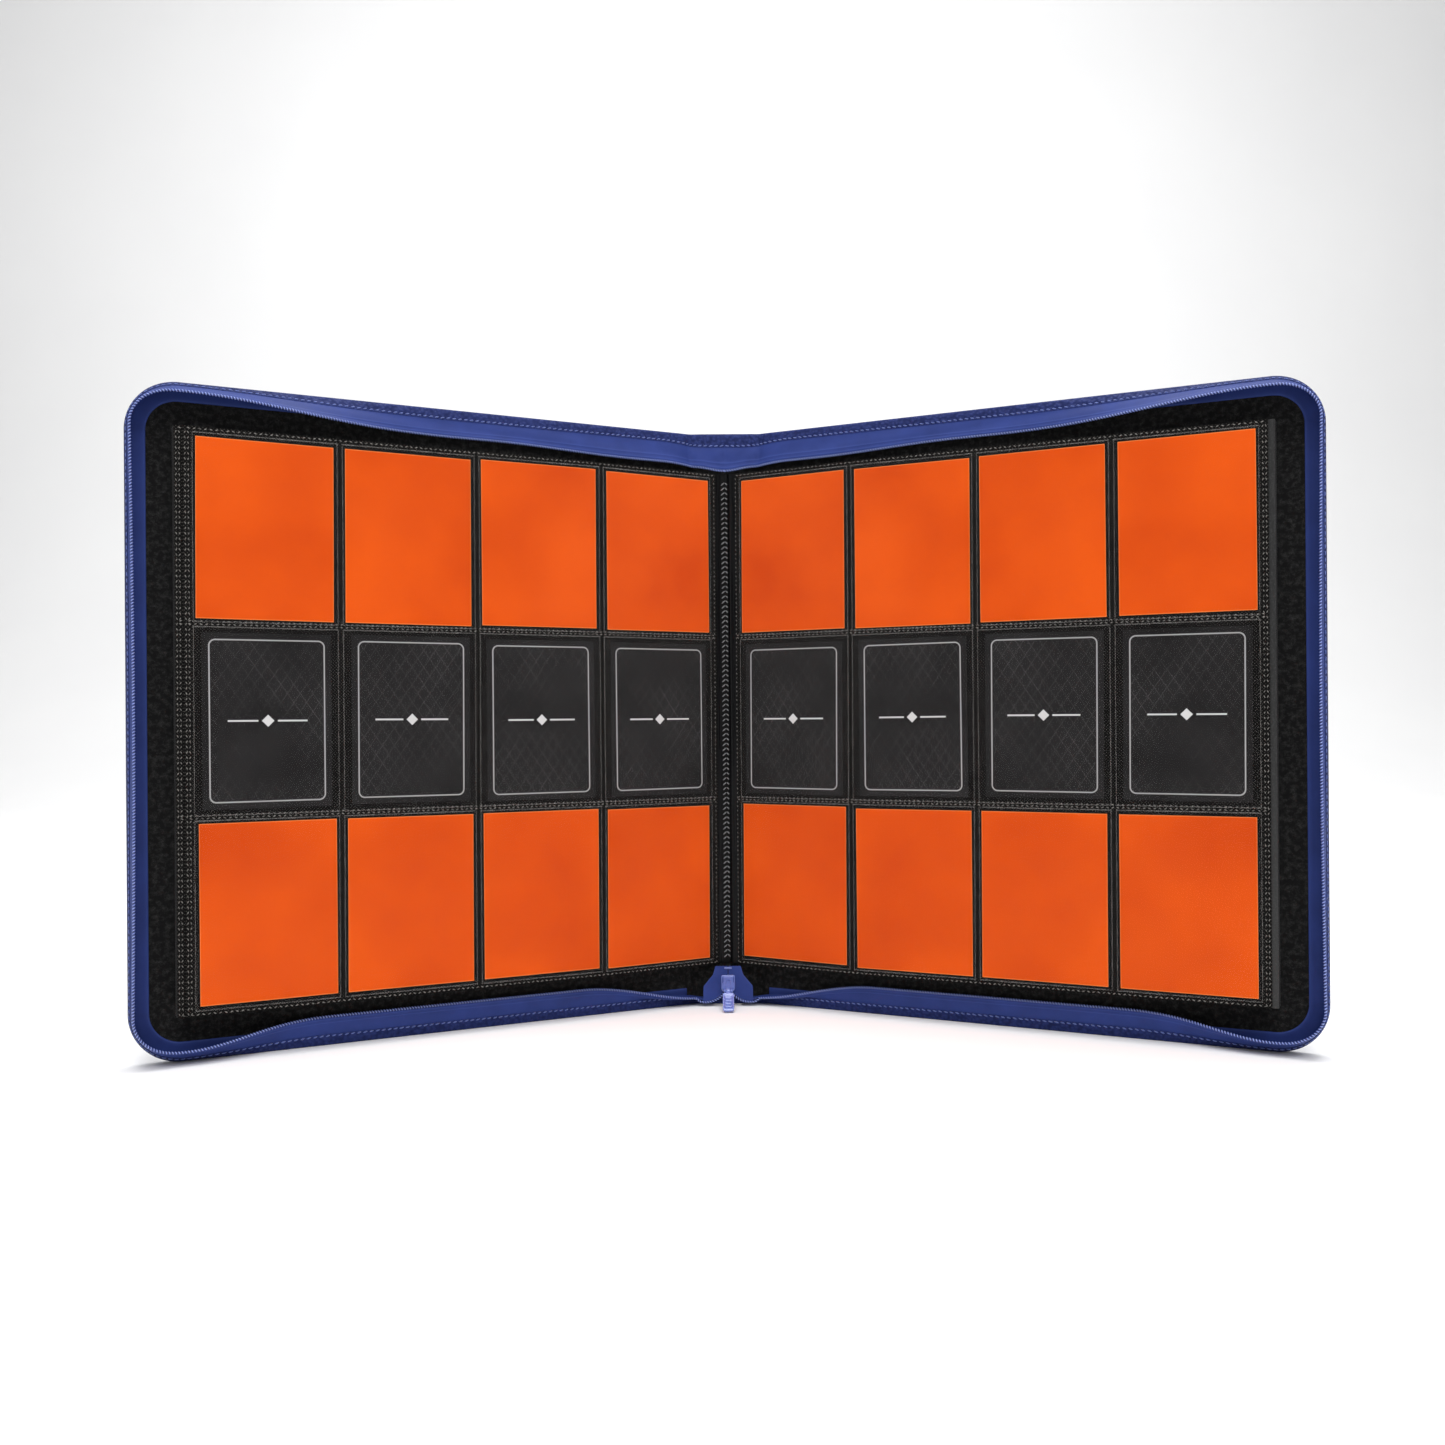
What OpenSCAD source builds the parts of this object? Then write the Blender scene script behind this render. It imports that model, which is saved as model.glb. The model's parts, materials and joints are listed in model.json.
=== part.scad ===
// Zip-round card binder, standing open: a padded case in three panels,
// with side-loading pocket leaves sewn to its spine.

/* [Case] */
// Height of the case from its standing edge to its top edge
case_h = 336; // [330:1:350]
// Width of one cover from its fold line to its free edge
cover_w = 307; // [307:1:325]
// Distance between the two fold lines of the spine
spine_w = 43; // [43:1:50]
// Radius of the two free corners of a cover
corner_r = 25; // [18:1:34]
// Forward angle of each cover at rest, measured from flat
open_angle = 27; // [20:1:40]

/* [Layers] */
// Thickness of the outer leatherette skin
skin_t = 0.8; // [0.6:0.1:1.0]
// Thickness of the stiff board inside each panel
board_t = 2; // [1.6:0.1:2.2]
// Thickness of the felt lining
lining_t = 0.8; // [0.6:0.1:0.8]

/* [Zip wall] */
// Length of the leatherette strip that rises from the panel edge
gusset_len = 6; // [5:0.5:6]
// Thickness of that strip
gusset_t = 1.1; // [0.9:0.1:1.2]
// Visible width of the zip tape between the strip and the teeth
tape_len = 8.8; // [7:0.2:8.8]
// Thickness of the zip tape
tape_t = 0.7; // [0.5:0.1:0.8]
// Diameter of the coil of teeth
teeth_d = 1.6; // [1.2:0.1:1.6]
// Inward lean of the wall beside the spine
spine_lean = 80; // [60:1:84]
// Inward lean of the wall where it reaches the corners
corner_lean = 28; // [20:1:32]
// Share of the top edge, from its corner, over which the wall folds down to its full lean
top_fold_share = 0.5; // [0.4:0.05:0.6]
// Share of the bottom edge, from its corner, over which the wall folds down to its full lean
bottom_fold_share = 0.26; // [0.24:0.01:0.35]
// Inward lean of the wall halfway up the free edge
side_lean = 8; // [4:1:12]

/* [Leaves] */
// Leaves on each side of the spine
leaf_count = 10; // [4:1:10]
// Distance between the middles of neighbouring leaves
leaf_pitch = 1; // [0.98:0.01:1.04]
// Thickness of a leaf with its cards in
leaf_t = 0.88; // [0.86:0.01:0.9]
// Width of a pocket with its weld, along the leaf
pocket_w = 72; // [70:1:72]
// Height of a pocket with its weld
pocket_h = 95; // [93:1:95]
// Web beyond the pockets at the free edge of a leaf
leaf_outer_margin = 3; // [2:0.5:3]
// Web before the pockets at the bound edge of a leaf
leaf_inner_margin = 2.5; // [2:0.5:2.5]

/* [Cards] */
// Width of a card
card_w = 64; // [62:1:65]
// Height of a card
card_h = 89; // [86:1:90]

/* [Slider] */
// Width of the zip slider
slider_w = 8; // [7:0.5:8]
// Height of the zip slider
slider_h = 9.5; // [8:0.5:9.5]
// Length of the pull tab from its pin to its tip
tab_len = 15; // [12:1:15]
// Width of the pull tab
tab_w = 6.5; // [5:0.5:7]

/* [Hidden] */
$fn = 48;
columns = 4;
rows = 3;
left_names = [for (i = [3:leaf_count]) str("left_leaf_", i)];
right_names = [for (i = [2:leaf_count]) str("right_leaf_", i)];

// Heights above the lining face of a panel, positive towards the leaves
panel_t = skin_t + board_t + lining_t;
fold_depth = panel_t - skin_t / 2;
skin_in = -(panel_t - skin_t);
root_h = 1.6;
fold_gap = 0.5;
board_gap = fold_depth + 0.3;

// Place of the whole object: it stands on z = 0 and its box is centred in x and y
half_spine = spine_w / 2;
teeth_level = root_h + gusset_len + tape_len + teeth_d / 2;
teeth_in = tape_t / 2 + 0.2;
reach = (cover_w - teeth_in) * sin(open_angle)
    + (teeth_level + fold_depth) * cos(open_angle) + teeth_d / 2 - fold_depth;
origin_y = (reach - panel_t) / 2;

// Leaves
leaf_hinge_x = 9.3;
leaf_hinge_y = 5;
turn_y = 6;
turn_x = (turn_y - leaf_hinge_y) * sin(open_angle) - leaf_hinge_x * cos(open_angle);
leaf_start = turn_x + 3.4;
leaf_top = leaf_hinge_x * sin(open_angle) + (turn_y - leaf_hinge_y) * cos(open_angle);
bend_x = leaf_start + leaf_inner_margin + pocket_w;
left_stagger = 4;
right_stagger = 3;
inner_pitch = 0.28;
leaf_w = leaf_inner_margin + columns * pocket_w + leaf_outer_margin;
leaf_edge = 1.5;
leaf_h = rows * pocket_h + 2 * leaf_edge;
leaf_z = (case_h - leaf_h) / 2;
web_t = 0.26;
sheet_t = 0.2;
film_t = 0.07;
layer_gap = 0.02;

// Slider
slider_y = -10;
slider_z = 9;
slider_t = 2.2;
plate_t = slider_t / 2;
plate_gap = 0.15;
plate_front = slider_y - tape_t / 2 - plate_gap - plate_t;
post_len = 2.2;
shield_back = plate_front - post_len;
shield_t = 1.2;
pin_z = slider_z + 1.2;
pin_d = 1.4;
pin_y = shield_back - shield_t - pin_d;
post_w = 3.2;
post_h = 5.2;
post_lift = 2.4;
eye_w = 2.7;
eye_r = 1.3;
lug_w = 1.1;
tab_t = 1.6;
tab_hang = 54;
stitch_pitch = 4;

skin_colour = "#1f3a93";
tape_colour = "#2f4fb0";
teeth_colour = "#8fa8e8";
stitch_colour = "#8fa8e8";
black = "#101012";
web_colour = "#1b1b1d";
board_colour = "#8a7a62";
orange = "#dc5a18";
film_colour = "#b9c2cc";
thread_colour = "#8c8c90";

// ---------- Placing ----------

// Moves a piece from the spine frame, where the spine lining is at y = 0
module at_spine() {
    translate([0, origin_y, 0]) children();
}

// Panel frame of a cover: x from the fold outwards, y = 0 on the lining face, -y towards the leaves
module on_right_cover() {
    at_spine() translate([half_spine, fold_depth, 0]) rotate([0, 0, -open_angle])
        translate([0, -fold_depth, 0]) children();
}

module on_left_cover() {
    mirror([1, 0, 0]) on_right_cover() children();
}

// Leaf frame: x from the leaves' hinge outwards, y = 0 in the plane of that hinge
module on_right_leaves() {
    at_spine() translate([leaf_hinge_x, -leaf_hinge_y, 0]) rotate([0, 0, -open_angle])
        children();
}

module on_left_leaves() {
    mirror([1, 0, 0]) on_right_leaves() children();
}

// ---------- Case panels ----------

// Outline of a cover in its own plane, from the fold gap to the round free corners
module cover_outline(inset, start) {
    r = corner_r - inset;
    w = cover_w - inset;
    h = case_h - 2 * inset;
    translate([0, inset]) union() {
        translate([start, 0]) square([w - r - start, h]);
        translate([w - r - 1, r]) square([r + 1, h - 2 * r]);
        translate([w - r, r]) circle(r);
        translate([w - r, h - r]) circle(r);
    }
}

// A layer of a cover, from one height above the lining face to another
module cover_layer(low, high, inset, start) {
    translate([0, -low, 0]) rotate([90, 0, 0])
        linear_extrude(high - low) cover_outline(inset, start);
}

module cover_skin() {
    color(skin_colour) cover_layer(-panel_t, skin_in, 0, fold_gap);
}

module cover_board() {
    color(board_colour) cover_layer(skin_in, -lining_t, gusset_t + 0.3, board_gap);
}

module cover_lining() {
    color(black) cover_layer(-lining_t, 0, gusset_t + 0.3, board_gap);
}

// ---------- Zip wall of a cover ----------

wall_start = 5;
run_steps = 22;
corner_steps = 8;
side_steps = 10;
side_end_lean = 4;
run_end = cover_w - corner_r;
side_len = case_h - 2 * corner_r;

// Stations along the wall: [x, z, inward x, inward z, lean]
function ease(t) = t * t * (3 - 2 * t);
function run_lean(t, share) = corner_lean + (spine_lean - corner_lean) * ease(min(1, (1 - t) / share));
function run_x(t) = wall_start + (run_end - wall_start) * t;
function run(share) = [for (i = [0:run_steps]) let (t = i / run_steps)
    [run_x(t), 0, 0, 1, run_lean(t, share)]];
corner = [for (i = [1:corner_steps]) let (t = i / corner_steps, a = -90 + 90 * t)
    [run_end + corner_r * cos(a), corner_r + corner_r * sin(a), -cos(a), -sin(a),
     corner_lean + (side_end_lean - corner_lean) * ease(t)]];
side_run = [for (i = [1:side_steps - 1]) let (t = i / side_steps)
    [cover_w, corner_r + side_len * t, -1, 0, side_end_lean + (side_lean - side_end_lean) * sin(180 * t)]];
function flip(stations) = [for (i = [len(stations) - 1:-1:0]) let (s = stations[i])
    [s[0], case_h - s[1], s[2], -s[3], s[4]]];
wall = concat(run(bottom_fold_share), corner, side_run, flip(corner), flip(run(top_fold_share)));

// A point at an inward distance and a height above the lining, at one station
function wall_point(s, p) = [s[0] + s[2] * p[0], -p[1], s[1] + s[3] * p[0]];

// Sweeps a ring of section points, given by a function literal of the lean, along stations
module wall_sweep(stations, section) {
    n = len(section(0));
    m = len(stations);
    points = [for (s = stations) for (p = section(s[4])) wall_point(s, p)];
    sides = [for (i = [0:m - 2]) for (j = [0:n - 1]) let (k = (j + 1) % n)
        [i * n + j, i * n + k, (i + 1) * n + k, (i + 1) * n + j]];
    first = [for (j = [n - 1:-1:0]) j];
    last = [for (j = [0:n - 1]) (m - 1) * n + j];
    polyhedron(points, concat(sides, [first, last]), convexity = 8);
}

function along(lean) = [sin(lean), cos(lean)];
function inside(lean) = [cos(lean), -sin(lean)];
function gusset_end(lean) = [0, root_h] + gusset_len * along(lean);
function tape_end(lean) = gusset_end(lean) + tape_len * along(lean);

// Strip of leatherette: upright root beside the boards, then leaning inwards
gusset_section = function (lean) [
    [0, skin_in + 0.02],
    [0, root_h],
    gusset_end(lean),
    gusset_end(lean) + gusset_t * inside(lean),
    [gusset_t, root_h - gusset_t * tan(lean / 2)],
    [gusset_t, skin_in + 0.02]];

tape_section = function (lean) [
    gusset_end(lean) + 0.1 * along(lean) + 0.2 * inside(lean),
    tape_end(lean) + 0.2 * inside(lean),
    tape_end(lean) + (0.2 + tape_t) * inside(lean),
    gusset_end(lean) + 0.1 * along(lean) + (0.2 + tape_t) * inside(lean)];

teeth_section = function (lean) [for (a = [0:45:315])
    tape_end(lean) + (teeth_d / 2 + 0.05) * along(lean) + (0.2 + tape_t / 2) * inside(lean)
    + teeth_d / 2 * [cos(lean - a), -sin(lean - a)]];

module cover_gusset() {
    color(skin_colour) wall_sweep(wall, gusset_section);
}

module cover_zip_tape() {
    color(tape_colour) wall_sweep(wall, tape_section);
}

module cover_zip_teeth() {
    color(teeth_colour) wall_sweep(wall, teeth_section);
}

// Binding that covers the edge of the lining along the open sides
facing_w = 7;
facing_t = 0.6;
module cover_facing() {
    start = gusset_t + 0.4;
    color(tape_colour) translate([0, -0.02, 0]) rotate([90, 0, 0]) linear_extrude(facing_t)
        difference() {
            cover_outline(start, wall_start);
            cover_outline(start + facing_w, 0);
        }
}

// Stitches of the seam between the strip and the zip tape
stitch_t = 0.5;
stitch_len = 2.6;
stitch_lift = 0.5;
stitched_run = 0.72;
module cover_stitching() {
    step = stitch_pitch;
    count = floor((run_end - wall_start) / step) - 1;
    last = floor(stitched_run * count);
    color(stitch_colour) for (side = [0, 1], i = [1:last]) {
        x = wall_start + i * step;
        share = side == 0 ? bottom_fold_share : top_fold_share;
        lean = run_lean((x - wall_start) / (run_end - wall_start), share);
        at = [0, root_h] + (gusset_len - 0.9) * along(lean) - stitch_lift * inside(lean);
        z = side == 0 ? at[0] : case_h - at[0];
        flip_z = side == 0 ? 1 : -1;
        translate([x, -at[1], z]) rotate([flip_z * (lean - 90), 0, 0])
            cube([stitch_len, stitch_t, stitch_t], center = true);
    }
}

// ---------- Spine ----------

module spine_panel(low, high, edge, inset) {
    half = half_spine - edge;
    at_spine() translate([-half, -high, inset]) cube([2 * half, high - low, case_h - 2 * inset]);
}

module spine_skin() {
    color(skin_colour) spine_panel(-panel_t, skin_in, fold_gap, 0);
}

module spine_board() {
    color(board_colour) spine_panel(skin_in, -lining_t, board_gap, gusset_t + 0.3);
}

module spine_lining() {
    color(black) spine_panel(-lining_t, 0, board_gap, gusset_t + 0.3);
}

// Flaps of the case wall, folded over the spine
flap_half = 16;
flap_y = -root_h;
flap_drop = 8;
tape_side_drop = 16.5;
tape_mid_drop = 20.5;
module spine_flap(len_z) {
    color(skin_colour) at_spine() translate([-flap_half, 0, 0]) union() {
        translate([0, flap_y, 0]) cube([2 * flap_half, -skin_in - flap_y - 0.02, gusset_t]);
        translate([0, flap_y, 0]) cube([2 * flap_half, gusset_t, len_z]);
    }
}

module spine_gusset_top() {
    translate([0, 0, case_h]) mirror([0, 0, 1]) spine_flap(flap_drop);
}

module spine_gusset_bottom() {
    spine_flap(3);
}

// Lower edge of the folded tape at the top of the spine, dipping in the middle
function dip(x) = tape_side_drop + (tape_mid_drop - tape_side_drop) * (0.5 + 0.5 * cos(180 * x / flap_half));
dip_steps = 16;
dip_xs = [for (i = [0:dip_steps]) -flap_half + 2 * flap_half * i / dip_steps];

module spine_zip_tape() {
    color(tape_colour) at_spine() translate([0, flap_y + 0.9, case_h]) rotate([90, 0, 0])
        linear_extrude(tape_t)
            polygon(concat([[-flap_half, -flap_drop - 0.1]], [for (x = dip_xs) [x, -dip(x)]],
                [[flap_half, -flap_drop - 0.1]]));
}

module spine_zip_teeth() {
    color(teeth_colour) at_spine() translate([0, flap_y + 1.2, case_h]) rotate([90, 0, 0])
        linear_extrude(1.3)
            polygon(concat([for (x = dip_xs) [x, -dip(x) - 0.05]],
                [for (i = [dip_steps:-1:0]) [dip_xs[i], -dip(dip_xs[i]) - teeth_d]]));
}

// The two ends of the zip tape, which meet above the slider: [half width, height] up their outer edge
end_low = 3.4;
end_top = 23.4;
end_foot = [14.6, end_low];
end_hip = [13.6, 9.4];
end_shoulder = [9.5, 17.4];
end_peak = [7.5, end_top];
sweep_r = 13;
end_seam = 0.15;
end_steps = 8;
module zip_tape_end() {
    inner = [for (i = [0:end_steps]) let (a = 90 * i / end_steps)
        [end_seam + sweep_r * (1 - cos(a)), end_low + sweep_r * (1 - sin(a))]];
    translate([0, slider_y + tape_t / 2, 0]) rotate([90, 0, 0]) linear_extrude(tape_t)
        polygon(concat([[end_seam, end_top]], inner, [end_foot, end_hip, end_shoulder, end_peak]));
}

// Feet that carry the tape ends forward from the bottom flap
foot_in = 9;
module zip_tape_foot() {
    translate([foot_in, slider_y - tape_t / 2, end_low - 0.3])
        cube([end_foot[0] - foot_in - 0.2, flap_y - slider_y + tape_t / 2, tape_t]);
}

module zip_tape_ends() {
    color(tape_colour) at_spine() for (side = [0, 1]) mirror([side, 0, 0]) union() {
        zip_tape_end();
        zip_tape_foot();
    }
}

// Stop that ends the zip above the slider's travel
stop_w = 4.4;
stop_t = 0.7;
stop_h = 1.2;
module zip_end_stop() {
    color(teeth_colour) at_spine()
        translate([-stop_w / 2, slider_y - tape_t / 2 - stop_t - 0.02, end_top - stop_h - 0.2])
            cube([stop_w, stop_t, stop_h]);
}

// Strip that holds the bound edges of the leaves on the spine
binding_w = 12;
binding_t = 0.7;
module page_binding() {
    color(black) at_spine() translate([-binding_w / 2, -binding_t - layer_gap, leaf_z])
        cube([binding_w, binding_t, leaf_h]);
}

// Zigzag seam through that strip
zigzag_w = 1.2;
zigzag_angle = 35;
zigzag_len = 3;
module binding_stitches() {
    count = floor(leaf_h / stitch_pitch) - 2;
    color(thread_colour) at_spine() for (i = [0:count]) {
        side = i % 2 == 0 ? 1 : -1;
        translate([-side * zigzag_w, -binding_t - 2 * layer_gap, leaf_z + (i + 1) * stitch_pitch])
            rotate([90, 0, 0]) rotate([0, 0, side * zigzag_angle])
                linear_extrude(0.4) square([zigzag_len, 0.6], center = true);
    }
}

// ---------- Leaves ----------

// Middle of a leaf above the hinge plane; leaf 1 is nearest the reader
function leaf_level(number) = leaf_top - (number - 1) * leaf_pitch;

// The same at the bound edge, where the leaves close up on each other
function inner_level(number) =
    number > 2 ? leaf_level(leaf_count) + inner_pitch * (leaf_count - number)
    : number == 2 ? inner_level(3) + 0.75
    : inner_level(2) + 0.95;
function inner_tilt(number) =
    atan((leaf_level(number) - inner_level(number)) / (bend_x - leaf_start));

// Plan of a leaf: its first column slopes back to the spine, and may get thinner towards it
module leaf_plate(number, thickness, inner_thickness) {
    top = leaf_level(number);
    low = inner_level(number);
    far = leaf_start + leaf_w;
    translate([0, 0, leaf_z]) linear_extrude(leaf_h) polygon([
        [leaf_start, -low - inner_thickness / 2],
        [bend_x, -top - thickness / 2],
        [far, -top - thickness / 2],
        [far, -top + thickness / 2],
        [bend_x, -top + thickness / 2],
        [leaf_start, -low + inner_thickness / 2]]);
}

module plain_leaf(number) {
    color(web_colour) leaf_plate(number, leaf_t, web_t);
}

function pocket_z(row) = leaf_z + leaf_edge + (row + 0.5) * pocket_h;

// Moves a piece to the middle of a column, on the middle plane of a leaf
module on_column(number, column) {
    translate([bend_x, -leaf_level(number), 0])
        rotate([0, 0, column == 0 ? -inner_tilt(number) : 0])
            translate([(column - 0.5) * pocket_w, 0, 0]) children();
}

// A thin panel centred in each chosen pocket, on both faces of a leaf
module in_pockets(number, row_list, from, thickness) {
    for (face = [0, 1], column = [0:columns - 1], row = row_list)
        on_column(number, column) translate([0, 0, pocket_z(row)])
            mirror([0, face, 0]) translate([0, -from, 0]) rotate([90, 0, 0])
                linear_extrude(thickness) children();
}

card_from = web_t / 2 + layer_gap;
film_from = card_from + sheet_t + layer_gap;
module leaf_web(number) {
    color(web_colour) leaf_plate(number, web_t, web_t);
}

module leaf_orange_cards(number) {
    color(orange) in_pockets(number, [0, 2], card_from, sheet_t)
        square([card_w + 2, card_h], center = true);
}

module leaf_black_cards(number) {
    color(black) in_pockets(number, [1], card_from, sheet_t)
        square([card_w - 2, card_h - 2], center = true);
}

weld = 1;
module leaf_pockets(number) {
    color(film_colour, 0.5) {
        in_pockets(number, [0:rows - 1], film_from, film_t)
            square([pocket_w - 1, pocket_h - 1], center = true);
        in_pockets(number, [0:rows - 1], web_t / 2, film_from - web_t / 2) difference() {
            square([pocket_w - 1, pocket_h - 1], center = true);
            square([pocket_w - 1 - 2 * weld, pocket_h - 1 - 2 * weld], center = true);
        }
    }
}

// A whole stack starts a little further out than the leaf on top of it
module lower_left() {
    on_left_leaves() translate([left_stagger, 0, 0]) children();
}

module lower_right() {
    on_right_leaves() translate([right_stagger, 0, 0]) children();
}

// ---------- Slider ----------

module slider_plates() {
    shoulder = slider_h * 0.45;
    nose = slider_w * 0.28;
    for (face = [-1, 1])
        translate([0, slider_y + face * (tape_t / 2 + plate_gap + plate_t / 2), slider_z])
            rotate([90, 0, 0]) linear_extrude(plate_t, center = true) union() {
                translate([-slider_w / 2, shoulder]) square([slider_w, slider_h - shoulder]);
                polygon([[-slider_w / 2, shoulder + 0.01], [-nose, 0], [nose, 0],
                    [slider_w / 2, shoulder + 0.01]]);
            }
}

// The wedge between the two plates, below the point where the tapes part
module slider_wedge() {
    depth = tape_t + 2 * plate_gap + 2 * plate_t;
    wedge_w = 1.6;
    wedge_h = 1.2;
    wedge_drop = 0.9;
    translate([-wedge_w / 2, slider_y - depth / 2, slider_z - wedge_drop])
        cube([wedge_w, depth, wedge_h]);
}

module slider_body() {
    color(skin_colour) at_spine() union() {
        slider_plates();
        slider_wedge();
    }
}

// Outline of the crown's shield: square shoulders and a rounded lower end
module shield_outline() {
    half = slider_w * 0.45;
    translate([-half, half]) square([2 * half, slider_h - half]);
    translate([0, half]) circle(half);
}

// Crown: a shield on a post, with two lugs that carry the pin of the pull tab
module slider_crown() {
    color(skin_colour) at_spine() union() {
        translate([0, shield_back, slider_z]) rotate([90, 0, 0]) linear_extrude(shield_t)
            shield_outline();
        translate([-post_w / 2, shield_back - 0.01, slider_z + post_lift])
            cube([post_w, post_len - 0.01, post_h]);
        for (side = [-1, 1]) translate([side * (eye_w + lug_w + 0.2) / 2, 0, pin_z]) {
            translate([-lug_w / 2, pin_y, 0]) rotate([0, 90, 0]) cylinder(h = lug_w, r = eye_r);
            translate([-lug_w / 2, pin_y, -eye_r])
                cube([lug_w, shield_back - shield_t / 2 - pin_y, 2 * eye_r]);
        }
        translate([-eye_w / 2 - 0.2, pin_y, pin_z]) rotate([0, 90, 0])
            cylinder(h = eye_w + 0.4, d = pin_d);
    }
}

// Pull tab with an eye that turns on the pin
module pull_tab() {
    neck = 4.6;
    corner = 1;
    color(tape_colour) at_spine() translate([0, pin_y, pin_z]) rotate([-tab_hang, 0, 0])
        difference() {
            union() {
                rotate([0, 90, 0]) cylinder(h = eye_w, r = eye_r, center = true);
                translate([-eye_w / 2, -tab_t / 2, -neck - 0.5]) cube([eye_w, tab_t, neck + 0.5]);
                translate([0, tab_t / 2, -tab_len]) rotate([90, 0, 0]) linear_extrude(tab_t)
                    union() {
                        translate([-tab_w / 2, corner]) square([tab_w, tab_len - neck - corner]);
                        translate([-tab_w / 2 + corner, 0]) square([tab_w - 2 * corner, 2]);
                        for (side = [-1, 1])
                            translate([side * (tab_w / 2 - corner), corner]) circle(corner);
                    }
            }
            rotate([0, 90, 0]) cylinder(h = eye_w + 2, d = pin_d + 0.12, center = true);
        }
}

// ---------- Nodes ----------

spine_skin();
spine_board();
spine_lining();
spine_gusset_top();
spine_gusset_bottom();
spine_zip_tape();
spine_zip_teeth();
zip_tape_ends();
zip_end_stop();
page_binding();
binding_stitches();
on_left_cover() cover_skin();  // left_skin
on_left_cover() cover_board();  // left_board
on_left_cover() cover_lining();  // left_lining
on_left_cover() cover_gusset();  // left_gusset
on_left_cover() cover_zip_tape();  // left_zip_tape
on_left_cover() cover_zip_teeth();  // left_zip_teeth
on_left_cover() cover_facing();  // left_facing
on_left_cover() cover_stitching();  // left_stitching
on_right_cover() cover_skin();  // right_skin
on_right_cover() cover_board();  // right_board
on_right_cover() cover_lining();  // right_lining
on_right_cover() cover_gusset();  // right_gusset
on_right_cover() cover_zip_tape();  // right_zip_tape
on_right_cover() cover_zip_teeth();  // right_zip_teeth
on_right_cover() cover_facing();  // right_facing
on_right_cover() cover_stitching();  // right_stitching
on_left_leaves() leaf_web(1);  // turning_leaf_web
on_left_leaves() leaf_pockets(1);  // turning_leaf_pockets
on_left_leaves() leaf_orange_cards(1);  // turning_leaf_orange_cards
on_left_leaves() leaf_black_cards(1);  // turning_leaf_black_cards
lower_left() leaf_web(2);  // left_leaf_2_web
lower_left() leaf_pockets(2);  // left_leaf_2_pockets
lower_left() leaf_orange_cards(2);  // left_leaf_2_orange_cards
lower_left() leaf_black_cards(2);  // left_leaf_2_black_cards
on_right_leaves() leaf_web(1);  // right_leaf_1_web
on_right_leaves() leaf_pockets(1);  // right_leaf_1_pockets
on_right_leaves() leaf_orange_cards(1);  // right_leaf_1_orange_cards
on_right_leaves() leaf_black_cards(1);  // right_leaf_1_black_cards
for (i = [0:len(left_names) - 1])
    lower_left() plain_leaf(i + 3);
for (i = [0:len(right_names) - 1])
    lower_right() plain_leaf(i + 2);
slider_body();
slider_crown();
pull_tab();
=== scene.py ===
import json
import math

import bmesh
import bpy
import numpy as np
from mathutils import Matrix, Vector


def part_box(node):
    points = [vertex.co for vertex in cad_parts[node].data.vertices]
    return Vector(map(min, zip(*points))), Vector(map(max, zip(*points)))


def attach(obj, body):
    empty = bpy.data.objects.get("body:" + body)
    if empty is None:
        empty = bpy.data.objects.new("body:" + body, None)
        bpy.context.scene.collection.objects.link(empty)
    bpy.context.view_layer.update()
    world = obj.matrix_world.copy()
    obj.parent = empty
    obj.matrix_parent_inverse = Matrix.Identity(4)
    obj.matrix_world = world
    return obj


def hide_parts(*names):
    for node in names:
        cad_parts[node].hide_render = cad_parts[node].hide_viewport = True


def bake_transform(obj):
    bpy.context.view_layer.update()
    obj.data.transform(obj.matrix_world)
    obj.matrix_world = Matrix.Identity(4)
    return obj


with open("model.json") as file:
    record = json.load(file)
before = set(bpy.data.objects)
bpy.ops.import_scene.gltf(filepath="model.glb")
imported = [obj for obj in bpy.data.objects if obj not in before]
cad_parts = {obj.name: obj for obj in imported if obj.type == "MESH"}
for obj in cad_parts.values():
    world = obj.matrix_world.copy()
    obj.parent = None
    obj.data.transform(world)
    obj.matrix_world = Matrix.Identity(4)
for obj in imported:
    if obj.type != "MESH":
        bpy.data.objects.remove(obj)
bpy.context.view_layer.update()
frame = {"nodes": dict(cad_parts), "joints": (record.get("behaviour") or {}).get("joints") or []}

# A zip-round card binder, standing open. Lengths in this script are in millimetres unless
# a name says otherwise, and MM turns them into metres where Blender needs them.
MM = 0.001

# ---------- Camera ----------

LINING_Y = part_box("spine_lining")[0].y / MM
EYE = (-7.3, LINING_Y - 801.4, 164.8)
YAW, PITCH, ROLL = (math.radians(a) for a in (0.37, 0.07, -0.41))
LENS, SENSOR = 33.78, 36.0


def make_camera():
    """Looks along +Y from in front of the open binder, at half its height."""
    data = bpy.data.cameras.new("camera")
    data.lens = LENS
    data.sensor_width = SENSOR
    data.clip_end = 50
    camera = bpy.data.objects.new("camera", data)
    bpy.context.scene.collection.objects.link(camera)
    forward = Vector((math.sin(YAW) * math.cos(PITCH), math.cos(YAW) * math.cos(PITCH), math.sin(PITCH)))
    right = forward.cross(Vector((0, 0, 1))).normalized()
    up = right.cross(forward)
    rolled_right = right * math.cos(ROLL) + up * math.sin(ROLL)
    rolled_up = up * math.cos(ROLL) - right * math.sin(ROLL)
    axes = Matrix((rolled_right, rolled_up, -forward)).transposed()
    camera.matrix_world = Matrix.Translation(Vector(EYE) * MM) @ axes.to_4x4()
    bpy.context.scene.camera = camera


make_camera()

# ---------- Sizes, from the frame where it has them ----------

JOINTS = {j["name"]: j for j in frame["joints"]}


def joint_place(name):
    """A joint's place as (distance from the middle of the spine, y from the spine lining)."""
    x, y, _ = JOINTS[name]["pos_m"]
    return x / MM, y / MM - LINING_Y


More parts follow.
